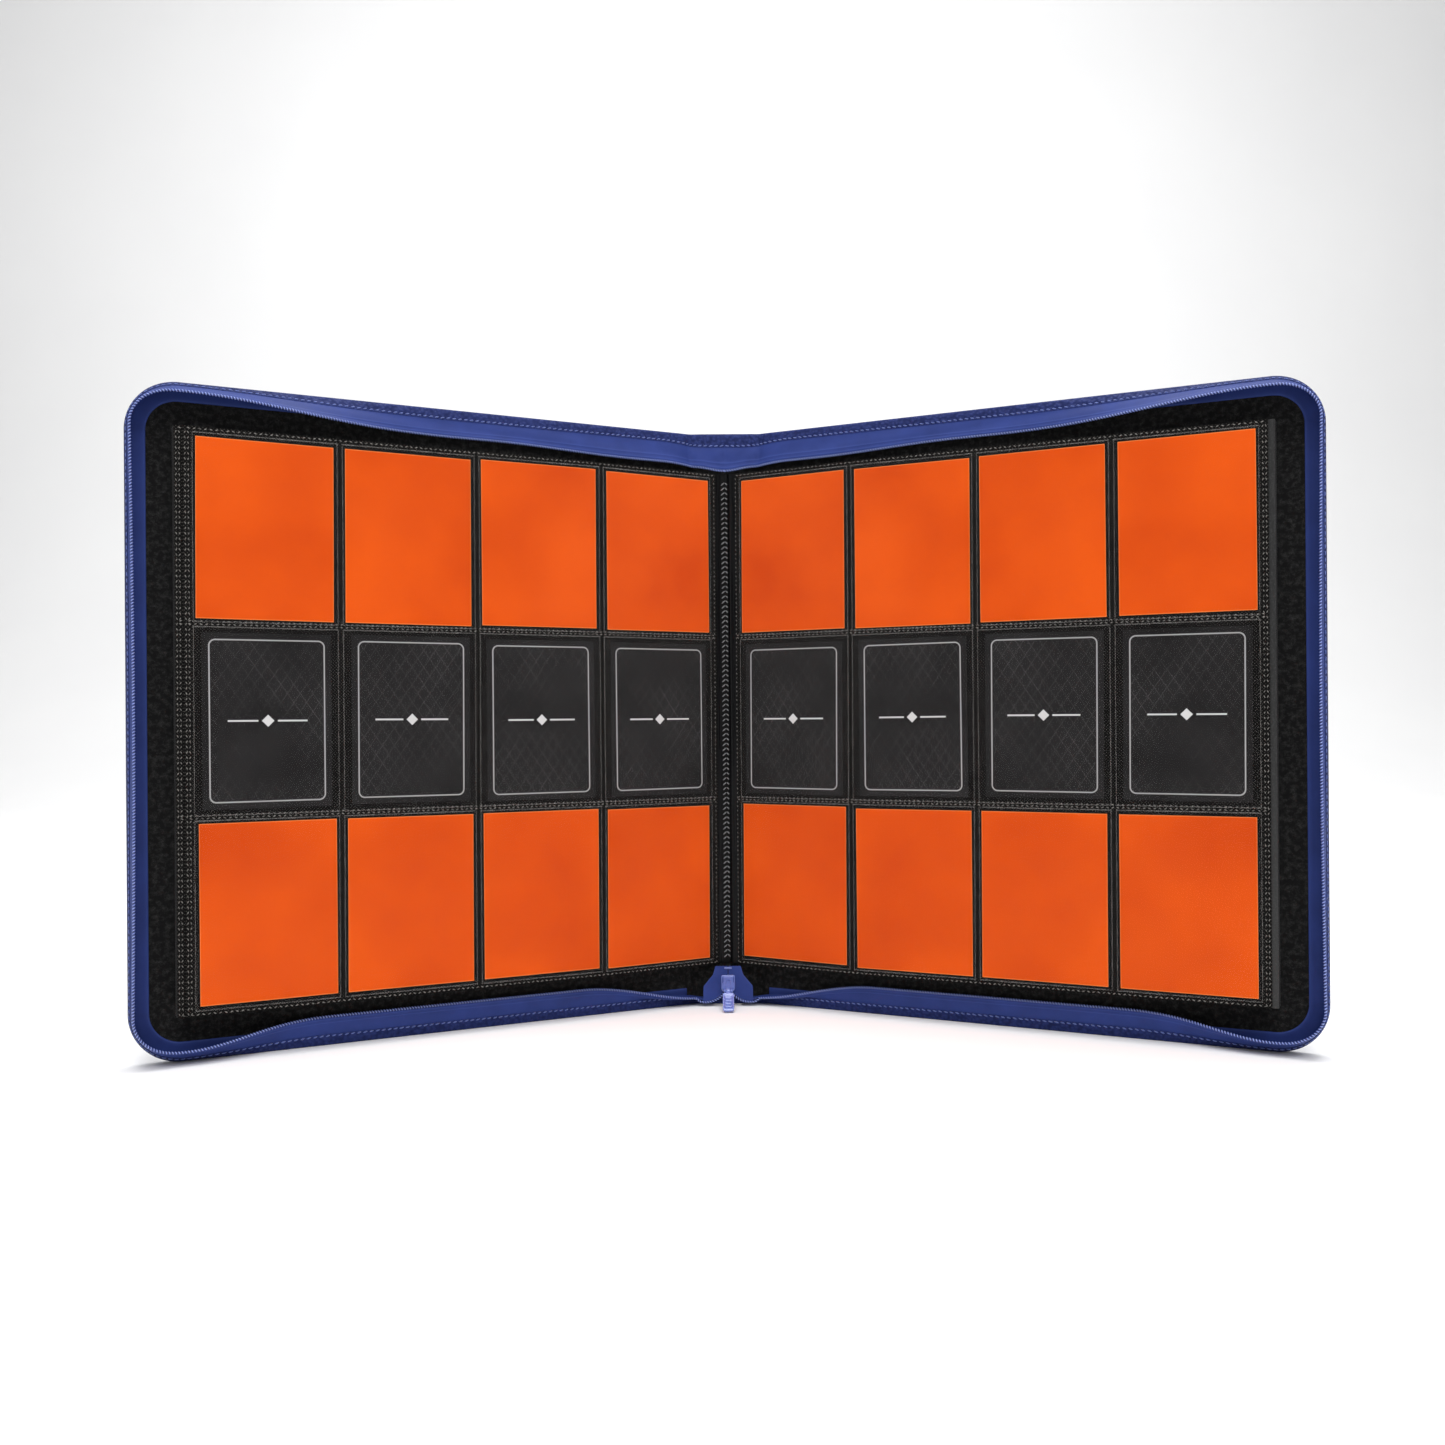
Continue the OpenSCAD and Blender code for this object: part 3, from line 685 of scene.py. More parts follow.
LEATHER = leatherette()
TAPE = tape()
FACING = binding_cloth()
COIL = coil()
SEAM = thread("seam_thread", (0.045, 0.072, 0.26), (0.13, 0.19, 0.52))
GREY_THREAD = thread("binding_thread", (0.08, 0.08, 0.083), (0.34, 0.34, 0.35))
FELT = felt()
WEB = web()
WELD = weld()
STRIP = satin_black("binding_strip", (0.0015, 0.0015, 0.0016), (0.005, 0.005, 0.0053), 0.32)
MARGIN = satin_black("margin_film", (0.0015, 0.0015, 0.0017), (0.005, 0.005, 0.0056), 0.22)
FILM = film()
FILM_EDGE = film_edge()
ORANGE = orange_card()
BLACK = black_card()
ENAMEL = enamel()
TAB = tab_plastic()
BOARD = cardboard()
EDGE = leaf_edge()

# ---------- The zip wall's path ----------

ARC = math.pi / 2 * CORNER_R
TOP_END = HALF_SPINE + RUN_END
SIDE_START = TOP_END + ARC
SIDE_END = SIDE_START + SIDE_LEN
LOW_START = SIDE_END + ARC
PATH_END = LOW_START + TOP_END


def outline(s):
    """The case's outline at a distance s along it, from the middle of the spine's top edge round the cover
    to the middle of its bottom edge: xu, z, and the inward direction (nx, nz)."""
    s = np.asarray(s, float)
    first = np.clip((s - TOP_END) / ARC, 0, 1) * math.pi / 2
    second = np.clip((s - SIDE_END) / ARC, 0, 1) * math.pi / 2
    turn = first + second
    nx, nz = -np.sin(turn), -np.cos(turn)
    along_top = np.minimum(s, TOP_END)
    along_side = np.clip(s - SIDE_START, 0, SIDE_LEN)
    along_low = np.maximum(s - LOW_START, 0)
    xu = along_top + CORNER_R * np.sin(first) - CORNER_R * (1 - np.cos(second)) - along_low
    z = CASE_H - CORNER_R * (1 - np.cos(first)) - along_side - CORNER_R * np.sin(second)
    return xu, z, nx, nz


FLAP_FROM, FLAP_TO = HALF_SPINE + 20, 8.0


def wall_facts(s):
    """At distances s along the outline: the wall's lean in radians, and the lengths of its strip and tape.
    From FLAP_FROM to FLAP_TO the wall folds flat over the spine, where both have lengths of their own."""
    s = np.asarray(s, float)
    low = s > PATH_END / 2
    xu = np.where(low, PATH_END - s, s)
    x = xu - HALF_SPINE
    t = np.clip((x - RUN_START) / (RUN_END - RUN_START), 0, 1)
    lean = mix(CORNER_LEAN, SPINE_LEAN, smooth((1 - t) / np.where(low, LOW_FOLD_SHARE, TOP_FOLD_SHARE)))
    side = np.clip((s - SIDE_START) / SIDE_LEN, 0, 1)
    upright = mix(SIDE_END_LEAN, SIDE_LEAN, np.sin(np.pi * side))
    corner = np.minimum(smooth((s - TOP_END) / ARC), smooth((LOW_START - s) / ARC))
    lean = mix(lean, upright, corner)
    longer = np.where(low, 0.0, TAPE_EXTRA) * smooth((0.42 - t) / 0.3)
    over = smooth((FLAP_FROM - xu) / (FLAP_FROM - FLAP_TO))
    lean = mix(lean, 90.0, over)
    drop = np.where(low, LOW_DROP, FLAP_DROP)
    middle = 0.5 + 0.5 * np.cos(np.pi * np.minimum(xu / FLAP_HALF, 1))
    dip = mix(TAPE_SIDE_DROP, TAPE_MID_DROP, middle)
    return np.radians(lean), mix(GUSSET_LEN, drop, over), mix(TAPE_LEN + longer, dip - FLAP_DROP, over)


def section_xyz(side, s, w, h):
    """A point at an inward distance w and a height h above the lining, at s along the outline."""
    xu, z, nx, nz = outline(s)
    return case_xyz(side, xu + nx * w, h, z + nz * w)


def gusset_tip(s):
    lean, strip, _ = wall_facts(s)
    return strip * np.sin(lean), ROOT_H + strip * np.cos(lean)


# Beside the slider the lower tape drops forward, so that its teeth run down to the bottom edge.
LOW_TAPE_FROM, LOW_TAPE_TO = HALF_SPINE + 72.0, HALF_SPINE - 3.0
ARC_R = 13.0
ARC_LOW = 3.4
ARC_X = 0.15 + ARC_R
LOW_TEETH = (4.6, 9.2)


def tape_tip(s):
    """The tape's free edge (w, h), which carries the teeth."""
    lean, _, tape_len = wall_facts(s)
    w, h = gusset_tip(s)
    w, h = w + tape_len * np.sin(lean), h + tape_len * np.cos(lean)
    xu = PATH_END - np.asarray(s, float)
    drop = np.where(xu < LOW_TAPE_FROM, smooth((LOW_TAPE_FROM - xu) / (LOW_TAPE_FROM - LOW_TAPE_TO)), 0.0)
    w, h = mix(w, LOW_TEETH[0], drop), mix(h, LOW_TEETH[1], drop)
    end = smooth((LOW_TAPE_TO - xu) / (LOW_TAPE_TO - ARC_X))
    return mix(w, ARC_LOW, end), mix(h, -TAPE_Y, end)


def inward(dw, dh):
    """Unit normal on the reader's inner side of a wall that runs along (dw, dh)."""
    length = np.hypot(dw, dh)
    return dh / length, -dw / length


def wall_stations(start, stop, step):
    return np.linspace(start, stop, max(2, int(round((stop - start) / step)) + 1))


# ---------- Case ----------

def panel_grid(side, inset, face):
    """A grid over half the case, from the middle of the spine to the free edge, with its round corners."""
    edge = HALF_SPINE + COVER_W - inset
    r = CORNER_R - inset
    near = HALF_SPINE + 20
    bend = np.linspace(0, math.pi / 2, 13)[1:]
    middle = np.linspace(near, edge - r, 90)
    xs = np.concatenate([np.linspace(0, near, 34)[:-1], middle, edge - r + r * np.sin(bend)])
    past = np.clip((xs - (edge - r)) / r, 0, 1)
    trim = inset + r * (1 - np.sqrt(1 - past * past))
    t = (1 - np.cos(np.linspace(0, math.pi, 70))) / 2
    z = trim[:, None] + (CASE_H - 2 * trim[:, None]) * t[None, :]
    x = np.broadcast_to(xs[:, None], z.shape)
    return x, z, case_xyz(side, x, face(x, z), z)


def edge_distance(x, z):
    """How far a point of a panel lies inside the case's outline."""
    corner_x = x - (HALF_SPINE + COVER_W - CORNER_R)
    corner_z = np.abs(z - CASE_H / 2) - (CASE_H / 2 - CORNER_R)
    outside = np.hypot(np.maximum(corner_x, 0), np.maximum(corner_z, 0))
    inside = np.minimum(np.maximum(corner_x, corner_z), 0)
    return CORNER_R - outside - inside


CREASE_DEPTH, CREASE_WIDTH = 0.9, 2.6
ROLL_R = 1.6


def outer_face(x, z):
    """The leatherette's outer face: rolled at the edge, padded over the boards, pressed in at the fold."""
    rim = edge_distance(x, z)
    rolled = ROLL_R - np.sqrt(np.maximum(ROLL_R ** 2 - np.maximum(ROLL_R - rim, 0) ** 2, 0))
    pad = 0.55 * smooth((rim - 2) / 16) * smooth(np.abs(x - HALF_SPINE) / 14)
    crease = CREASE_DEPTH * np.exp(-((x - HALF_SPINE) / CREASE_WIDTH) ** 2)
    return -PANEL_T + rolled - pad + crease


def make_skin(side):
    """Half of the outer leatherette, from the middle of the spine over the fold to the free edge."""
    x, z, outer = panel_grid(side, 0.0, outer_face)
    inner = case_xyz(side, np.minimum(x, HALF_SPINE + COVER_W - 0.4), SKIN_IN, z)
    crease = np.abs(x - HALF_SPINE) - 3.6
    # Lighter along the rolled edge and beside the fold: wear, with a painted highlight along them.
    wear_and_highlight = 0.8 * np.exp(-(edge_distance(x, z) / 1.1) ** 2) + 0.25 * np.exp(-crease ** 2)
    shape = Shape()
    shape.sheet(outer, inner, flat_of(side * x, z, 0), wear_and_highlight=wear_and_highlight)
    nodes = half_nodes(side, "skin", "spine_skin")
    skin = shape.make(f"{word(side)}_skin_leather", LEATHER, "leatherette", nodes)
    f"{word(side)}_board"
    return skin


def half_nodes(side, name, *spine):
    """The CAD nodes of one half's piece; the right half's stands for the spine's nodes too."""
    return [f"{word(side)}_{name}", *(spine if side > 0 else ())]


def lining_face(x, z):
    """The felt's face: matted down, with a soft valley along the fold."""
    rumple = 0.10 * np.sin(x / 23 + 1.3) * np.sin(z / 31) + 0.06 * np.sin(x / 9 + z / 13)
    valley = 0.55 * np.exp(-((x - HALF_SPINE) / 3.0) ** 2)
    return -0.12 + rumple * smooth(edge_distance(x, z) / 20) - valley


def make_lining(side):
    inset = GUSSET_T + 0.3
    x, z, top = panel_grid(side, inset, lining_face)
    shape = Shape()
    shape.sheet(top, case_xyz(side, x, LINING_BACK, z), flat_of(side * x, z, 0))
    lining = shape.make(f"{word(side)}_felt", FELT, "felt", half_nodes(side, "lining", "spine_lining"))
    f"{word(side)}_board"
    return lining


# ---------- Zip wall ----------

WALL_STEP = 1.25
STITCH_PITCH, STITCH_LEN, STITCH_SLANT = 3.2, 2.4, 0.22
# The seam's distance from the strip's free edge, and its place as a share of the strip.
SEAM_IN, SEAM_SHARE = 0.95, 0.84


def wall_strip(side, s, outer, inner, wear_and_highlight, across, depths):
    """A closed skin round a strip of the wall, from its outer and inner lines of (w, h) along s."""
    ring = outer + inner[::-1]
    wear_and_highlight = wear_and_highlight + [0 * s] * len(inner)
    across = across + across[::-1]
    points = np.stack([section_xyz(side, s, w, h) for w, h in ring], axis=1)
    flat = [flat_of(side * s, a, depths[0] if k < len(outer) else depths[1]) for k, a in enumerate(across)]
    shape = Shape()
    shape.tube(points, np.stack(flat, axis=1), np.stack(wear_and_highlight, axis=1))
    return shape


def make_gusset(side):
    """The grained strip that rises from the panel's edge and leans inwards, puckered by its seam."""
    s = wall_stations(0, PATH_END, WALL_STEP)
    lean, strip, _ = wall_facts(s)
    sin, cos = np.sin(lean), np.cos(lean)
    pucker = 0.12 * np.sin(2 * np.pi * s / STITCH_PITCH)
    waver = 0.25 * np.sin(s / 37) * np.sin(s / 13 + 1)
    # The strip is lighter along its root and its free edge: wear, with a painted highlight along them.
    outer, inner, wear_and_highlight, across = [], [], [], []
    for h in (SKIN_IN + 0.1, -1.4, 0.2, ROOT_H - 0.6):
        up = h - SKIN_IN
        bulge = -0.15 * math.sin(math.pi * up / (ROOT_H - SKIN_IN))
        outer.append((bulge + 0 * s, h + 0 * s))
        inner.append((GUSSET_T + 0 * s, h + 0 * s))
        wear_and_highlight.append(0.45 * math.exp(-(up / 0.9) ** 2) + 0 * s)
        across.append(up + 0 * s)
    for share in (0.06, 0.2, 0.38, 0.56, 0.74, 0.88, 0.97, 1.0):
        thick = GUSSET_T * (1.0 if share < 0.9 else 0.9 if share < 1 else 0.55)
        d = strip * share
        swell = 0.35 * math.sin(math.pi * share) * sin + waver * share * (1 - share) * 3
        swell = swell + pucker * math.exp(-((share - SEAM_SHARE) / 0.1) ** 2)
        w, h = d * sin - swell * cos, ROOT_H + d * cos + swell * sin
        root = math.exp(-(share / 0.12) ** 2)
        outer.append((w, h))
        inner.append((w + thick * cos + 0.5 * root * (1 - cos), h - thick * sin))
        wear_and_highlight.append(0.35 * math.exp(-((share - 1.0) / 0.10) ** 2) + 0.30 * root + 0 * s)
        across.append(ROOT_H - SKIN_IN + d)
    shape = wall_strip(side, s, outer, inner, wear_and_highlight, across, (5.0, 9.0))
    nodes = half_nodes(side, "gusset", "spine_gusset_top", "spine_gusset_bottom")
    gusset = shape.make(f"{word(side)}_gusset_leather", LEATHER, "leatherette", nodes, sharp=60)
    f"{word(side)}_skin_leather"
    return gusset


def tape_line(s):
    """Across the tape at distances s: its sewn edge, its run to the free edge, and its inner normal."""
    gw, gh = gusset_tip(s)
    tw, th = tape_tip(s)
    return gw, gh, tw - gw, th - gh, *inward(tw - gw, th - gh)


# Shares across the tape, with a ridge along each of the two sewn lines that hold the coil.
TAPE_SHARES = (-0.16, 0.0, 0.12, 0.25, 0.38, 0.50, 0.60, 0.66, 0.70, 0.74, 0.80, 0.86, 0.90, 0.94, 1.0)
RIDGE_SHARES = (0.70, 0.90)


def make_tape(side):
    """The zip tape from under the strip to the teeth."""
    s = wall_stations(0, PATH_END - ARC_X, WALL_STEP)
    gw, gh, dw, dh, iw, ih = tape_line(s)
    xu = np.minimum(s, PATH_END - s)
    loose = 0.35 * np.exp(-(xu / 30) ** 2)
    low_slack = np.where(s > PATH_END / 2, 1.6 * np.exp(-((xu - 40) / 16) ** 2), 0.0)
    outer, inner, wear_and_highlight, across = [], [], [], []
    for share in TAPE_SHARES:
        fall = max(share, 0) * (1 - share) * 4
        waves = loose * np.sin(s / 2.6 + 3 * share) + 0.22 * np.sin(s / 17 + 4 * share) + low_slack
        dimple = -0.9 * np.exp(-((s / 2.4) ** 2) - ((share - 0.5) / 0.22) ** 2)
        ridge = 0.14 if share in RIDGE_SHARES else 0.0
        lift = -0.2 + waves * fall + dimple + ridge
        w, h = gw + dw * share - iw * lift, gh + dh * share - ih * lift
        outer.append((w, h))
        inner.append((w + iw * TAPE_T, h + ih * TAPE_T))
        wear_and_highlight.append((0.30 if ridge else 0.12 if share == 1.0 else 0.0) + 0 * s)
        across.append(np.hypot(dw, dh) * share)
    shape = wall_strip(side, s, outer, inner, wear_and_highlight, across, (0, 4.0))
    nodes = half_nodes(side, "zip_tape", "spine_zip_tape")
    piece = shape.make(f"{word(side)}_tape", TAPE, "zip_tape", nodes, sharp=50)
    f"{word(side)}_gusset_leather"
    return piece


COIL_PITCH, COIL_WIRE, CORD_R = 1.5, 0.34, 0.28
COIL_STEPS, WIRE_SIDES, CORD_SIDES = 9, 5, 6
SWEEP_STOP = math.radians(38)


def coil_path(side, step=0.2):
    """The middle of the coil: along the tape's edge, then up the arc to the slider."""
    s = wall_stations(0, PATH_END - ARC_X, step)
    gw, gh, dw, dh, iw, ih = tape_line(s)
    length = np.hypot(dw, dh)
    w = gw + dw + dw / length * COIL_R + iw * 0.1
    h = gh + dh + dh / length * COIL_R + ih * 0.1
    end = smooth((s - (PATH_END - ARC_X - 9)) / 9)
    wall = section_xyz(side, s, mix(w, ARC_LOW - COIL_R, end), mix(h, -TAPE_Y, end))
    r = ARC_R + COIL_R
    a = np.linspace(math.pi / 2, SWEEP_STOP, int((math.pi / 2 - SWEEP_STOP) * r / step))
    arc = spine_xyz(side * (ARC_X - r * np.cos(a)), TAPE_Y, ARC_LOW + ARC_R - r * np.sin(a))
    return np.concatenate([wall, arc[1:]])


def rings_round(centre, radius, first, second, sides):
    """Rings of corners round a line of centres, in the plane of two directions."""
    a = circle(sides)[None, :, None]
    return centre[:, None] + radius * (first[:, None] * np.cos(a) + second[:, None] * np.sin(a))


def make_coil(side):
    """One zip coil: a helix of nylon wire on a cord, all round one side."""
    line = coil_path(side)
    dist = path_length(line)
    t = np.linspace(0, dist[-1], int(dist[-1] / COIL_PITCH) * COIL_STEPS + 1)
    centre, ahead = [np.stack([np.interp(t, dist, values[:, k]) for k in range(3)], axis=1)
                     for values in (line, np.gradient(line, axis=0))]
    ahead = unit(ahead)
    first = unit(np.cross(ahead, [0.0, 1.0, 0.12]))
    second = np.cross(ahead, first)
    turn = (2 * np.pi * t / COIL_PITCH)[:, None]
    out = first * np.cos(turn) + second * np.sin(turn)
    wire = rings_round(centre + out * (COIL_R - COIL_WIRE), COIL_WIRE, out, ahead, WIRE_SIDES)
    # Painted light: the crowns of the wire that face the reader get a painted highlight, and the rest stays
    # dark as painted shade.
    facing = np.clip(-out[:, 1] * 1.6, 0, 1)
    crown = np.maximum(np.cos(circle(WIRE_SIDES)), 0)[None, :] * facing[:, None]
    shape = Shape()
    shape.tube(wire, np.broadcast_to(flat_of(side * t, 0, 0)[:, None], wire.shape), crown.reshape(-1))
    some = slice(None, None, 6)
    cord = rings_round(centre[some], CORD_R, first[some], second[some], CORD_SIDES)
    shape.tube(cord, np.broadcast_to(flat_of(side * t[some], 3, 0)[:, None], cord.shape))
    nodes = half_nodes(side, "zip_teeth", "spine_zip_teeth")
    return shape.make(f"{word(side)}_coil", COIL, "zip_teeth", nodes)


def make_seam(side):
    """The light seam that joins the strip to the tape, all round."""
    s = np.arange(STITCH_PITCH / 2, PATH_END - ARC_X, STITCH_PITCH)
    points, faces = dome(STITCH_LEN / 2, 0.42, 0.45)
    along, across, up = points[None, :, 0], points[None, :, 1], points[None, :, 2]
    local_s = s[:, None] + along
    lean, strip, _ = wall_facts(local_s)
    d = strip - SEAM_IN + across + STITCH_SLANT * along
    lift = up + 0.12
    w = d * np.sin(lean) - lift * np.cos(lean)
    h = ROOT_H + d * np.cos(lean) + lift * np.sin(lean)
    shape = Shape()
    shape.add_many(section_xyz(side, local_s, w, h), faces, flat_of(local_s, across, 0))
    return shape.make(f"{word(side)}_seam", SEAM, "seam_thread", half_nodes(side, "stitching"))


FACING_IN, FACING_W, FACING_T = GUSSET_T + 0.35, 8.0, 0.55
MITRE = 4.0


def facing_strip(shape, side, s, lift, skew):
    """One length of binding over the lining's edge; skew slants its two ends as at a mitre."""
    shares = np.array([0.0, 0.04, 0.12, 0.3, 0.5, 0.7, 0.88, 0.96, 1.0])
    rise = FACING_T * np.array([0.1, 0.7, 0.95, 1.0, 0.92, 0.95, 1.05, 0.8, 0.1])
    w = FACING_IN + FACING_W * shares
    slant = skew[0] + (skew[1] - skew[0]) * np.linspace(0, 1, len(s))
    place = s[:, None] + slant[:, None] * (shares[None, :] - 0.5)
    ripple = 0.07 * np.sin(place / 21) * np.sin(np.pi * shares)[None, :]
    top = section_xyz(side, place, w[None, :], rise[None, :] + lift + ripple)
    bottom = section_xyz(side, place, w[None, :], -0.05)
    wear_and_highlight = np.broadcast_to(0.5 * np.exp(-((shares - 0.95) / 0.06) ** 2)[None, :], place.shape)
    shape.sheet(top, bottom, flat_of(side * place, w[None, :], 0), wear_and_highlight=wear_and_highlight)


def make_facing(side):
    """The binding: its top and bottom lengths, and the side one, mitred over their ends."""
    shape = Shape()
    start = HALF_SPINE + RUN_START
    facing_strip(shape, side, wall_stations(start, SIDE_START + MITRE, 2.0), 0.0, (0, 0))
    facing_strip(shape, side, wall_stations(SIDE_END - MITRE, PATH_END - start, 2.0), 0.0, (0, 0))
    facing_strip(shape, side, wall_stations(SIDE_START, SIDE_END, 2.5), 0.35, (-3.2, 3.2))
    return shape.make(f"{word(side)}_binding", FACING, "zip_tape", half_nodes(side, "facing"), sharp=60)


# ---------- Leaves ----------

def leaf_grid(side, number, thickness, step):
    """A grid over a leaf: u, z, and the points of its two faces."""
    u = np.linspace(LEAF_START, LEAF_START + LEAF_W, int(LEAF_W / step) + 1)
    z = np.linspace(LEAF_Z, LEAF_Z + LEAF_H, int(LEAF_H / step) + 1)
    u, z = np.meshgrid(u, z, indexing="ij")
    off = thickness(u, z)
    return u, z, leaf_xyz(side, number, u, off, z), leaf_xyz(side, number, u, -off, z)


def make_web(side, number, prefix):
    shape = Shape()
    u, z, top, bottom = leaf_grid(side, number, lambda u, z: WEB_T / 2, 4.0)
    shape.sheet(top, bottom, flat_of(side * u, z, number * 7.0))
    piece = shape.make(f"{prefix}_weave", WEB, "web", [f"{prefix}_web"], sharp=50)
    return piece


def pocket_centres(rows):
    return [(BEND_X + (c - 0.5) * POCKET_W, LEAF_Z + LEAF_EDGE + (r + 0.5) * POCKET_H, c, r)
            for c in range(COLUMNS) for r in rows]


CARD_STATIONS = np.concatenate([[-0.5, -0.494], np.linspace(-0.486, 0.486, 11), [0.494, 0.5]])


def make_cards(side, number, rows, size, shape_name, nodes, material, slot, seed):
    """The cards in the chosen rows, on both faces of a leaf, each a little off centre."""
    random = np.random.default_rng(seed)
    width, height = size
    a, b = np.meshgrid(CARD_STATIONS, CARD_STATIONS, indexing="ij")
    x, y = a * width, b * height
    bow = 0.07 * (1 - (2 * a) ** 2) * (1 - (2 * b) ** 2)
    rim = np.minimum(width / 2 - np.abs(x), height / 2 - np.abs(y))
    shape, card = Shape(), []
    for face in (1, -1):
        for cu, cz, column, row in pocket_centres(rows):
            slip = random.uniform(-0.5, 0.5, 2)
            tilt = random.uniform(-0.004, 0.004)
            u = cu + slip[0] + x - tilt * y
            z = cz + slip[1] + y + tilt * x
            top = leaf_xyz(side, number, u, face * (0.24 + bow), z)
            bottom = leaf_xyz(side, number, u, face * 0.14, z)
            flat = flat_of(u, z, 31.0 * column + 17.0 * row + 5 * face)
            shape.sheet(top, bottom, flat, wear_and_highlight=np.where(rim < 0.01, 0.9, 0.0))
            card += [flat_of(side * face * x, 0, y).reshape(-1, 3)] * 2
    piece = shape.make(shape_name, material, slot, nodes, sharp=40)
    add_layer(piece.data, "card", "FLOAT_VECTOR", np.concatenate(card))
    return piece


def make_films(side, number, prefix):
    """Twelve clear pockets on each face: flat at their welds, slightly puffed and rippled over the cards."""
    a, b = np.meshgrid(np.linspace(-1, 1, 15), np.linspace(-1, 1, 19), indexing="ij")
    rim = (1 - a ** 8) * (1 - b ** 8)
    shape = Shape()
    for face in (1, -1):
        for k, (cu, cz, _, _) in enumerate(pocket_centres(range(ROWS))):
            seed = 1.3 * k + face
            u, z = cu + a * (POCKET_W / 2 - 0.7), cz + b * (POCKET_H / 2 - 0.7)
            ripple = 0.022 * np.sin(3.1 * a + seed) * np.cos(2.3 * b + 1.7 * seed)
            ripple = ripple + 0.012 * np.sin(5 * b + seed)
            off = 0.29 + rim * (0.095 + ripple)
            top, bottom = [leaf_xyz(side, number, u, face * (off - d), z) for d in (0, 0.03)]
            shape.sheet(top, bottom, flat_of(u, z, face * 3.0))
    return shape.make(f"{prefix}_films", FILM, "film", [f"{prefix}_pockets"], sharp=60)


def make_rims(side, number, prefix):
    """The pressed rims of the pockets: a narrow raised line round each film."""
    half_u, half_z = POCKET_W / 2 - 1.6, POCKET_H / 2 - 1.6
    corners = [(-1, -1), (1, -1), (1, 1), (-1, 1)]
    loop = np.array([(half_u * mix(a, c, t), half_z * mix(b, d, t))
                     for (a, b), (c, d) in zip(corners, corners[1:] + corners[:1])
                     for t in np.linspace(0, 1, 16)[:-1]])
    shape = Shape()
    for face in (1, -1):
        for cu, cz, _, _ in pocket_centres(range(ROWS)):
            rings = []
            for grow, off in ((0.0, 0.16), (0.08, 0.46), (0.32, 0.50), (0.55, 0.16)):
                at = np.array([cu, cz]) + loop * (1 + grow / half_u)
                rings.append(leaf_xyz(side, number, at[:, 0], face * off, at[:, 1]))
            rings = np.stack(rings, axis=1)
            flat = flat_of(cu + loop[:, 0], cz + loop[:, 1], 0)
            shape.tube(rings, np.broadcast_to(flat[:, None], rings.shape), closed=True)
    return shape.make(f"{prefix}_rims", FILM_EDGE, "film", sharp=60)


MARK_PITCH, MARK_HIGH = 2.6, 0.22


def mark_rows():
    """A leaf's weld marks as (u, z, angle, half length, half width): rows between the pockets, and columns
    down both edges, double on the outer one."""
    marks = []
    far = LEAF_START + LEAF_W
    first = LEAF_START + 1.2
    zs = [LEAF_Z + 1.0] + [LEAF_Z + LEAF_EDGE + r * POCKET_H for r in (1, 2)] + [LEAF_Z + LEAF_H - 1.0]
    for row, z in enumerate(zs):
        for k, u in enumerate(np.arange(first + 1, far - 0.5, MARK_PITCH)):
            angle = 0.45 if k % 2 else -0.45
            marks.append((u, z, angle, 0.90, 0.32))
            if row in (1, 2):
                marks.append((u, z + 1.5, -angle, 0.8, 0.3))
    for k, z in enumerate(np.arange(LEAF_Z + 1.5, LEAF_Z + LEAF_H - 1, MARK_PITCH)):
        swing = 1 if k % 2 else -1
        marks.append((far - 1.0, z, math.pi / 2 + 0.5 * swing, 0.85, 0.29))
        marks.append((far - 2.5, z, math.pi / 2 - 0.5 * swing, 0.80, 0.27))
        marks.append((first, z, math.pi / 2 + 0.4 * swing, 0.75, 0.26))
    return np.array(marks)


def make_marks(side, number, prefix):
    """Small pressed ovals of the leaf's welded seams, on both faces."""
    centre_u, centre_z, angle, long, wide = mark_rows().T[:, :, None]
    points, faces = dome(1.0, 1.0, MARK_HIGH, 6)
    a, b = points[None, :, 0] * long, points[None, :, 1] * wide
    u = centre_u + a * np.cos(angle) - b * np.sin(angle)
    z = centre_z + a * np.sin(angle) + b * np.cos(angle)
    # The marks' tops carry a painted highlight.
    crown = np.broadcast_to(points[:, 2] / MARK_HIGH, u.shape)
    shape = Shape()
    for face in (1, -1):
        off = face * (WEB_T / 2 - 0.03 + points[None, :, 2])
        shape.add_many(leaf_xyz(side, number, u, off, z), faces, flat_of(u, z, 0), wear_and_highlight=crown)
    return shape.make(f"{prefix}_marks", WELD, "web")


def filled(u, z):
    """Half the thickness of a filled leaf: thin along its welds, full over its pockets."""
    across = np.clip((u - LEAF_START - INNER_MARGIN) / POCKET_W, 0, COLUMNS)
    up = np.clip((z - LEAF_Z - LEAF_EDGE) / POCKET_H, 0, ROWS)
    fill = np.abs(np.sin(np.pi * across)) * np.abs(np.sin(np.pi * up))
    return mix(0.16, LEAF_T / 2, np.minimum(1, 3.2 * fill) ** 0.6)


def make_plain_leaf(side, number):
    """A filled leaf under the top ones."""
    name = f"{word(side)}_leaf_{number}"
    u, z, top, bottom = leaf_grid(side, number, filled, 6.0)
    shape = Shape()
    shape.sheet(top, bottom, flat_of(u, number * 3.0, z), flat_of(u, number * 3.0 + 1, z))
    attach(shape.make(f"{name}_filled", EDGE, "web", [name], sharp=50), f"{word(side)}_leaves")


# ---------- Spine ----------

BINDING_HALF, BINDING_T = 6.0, 0.7


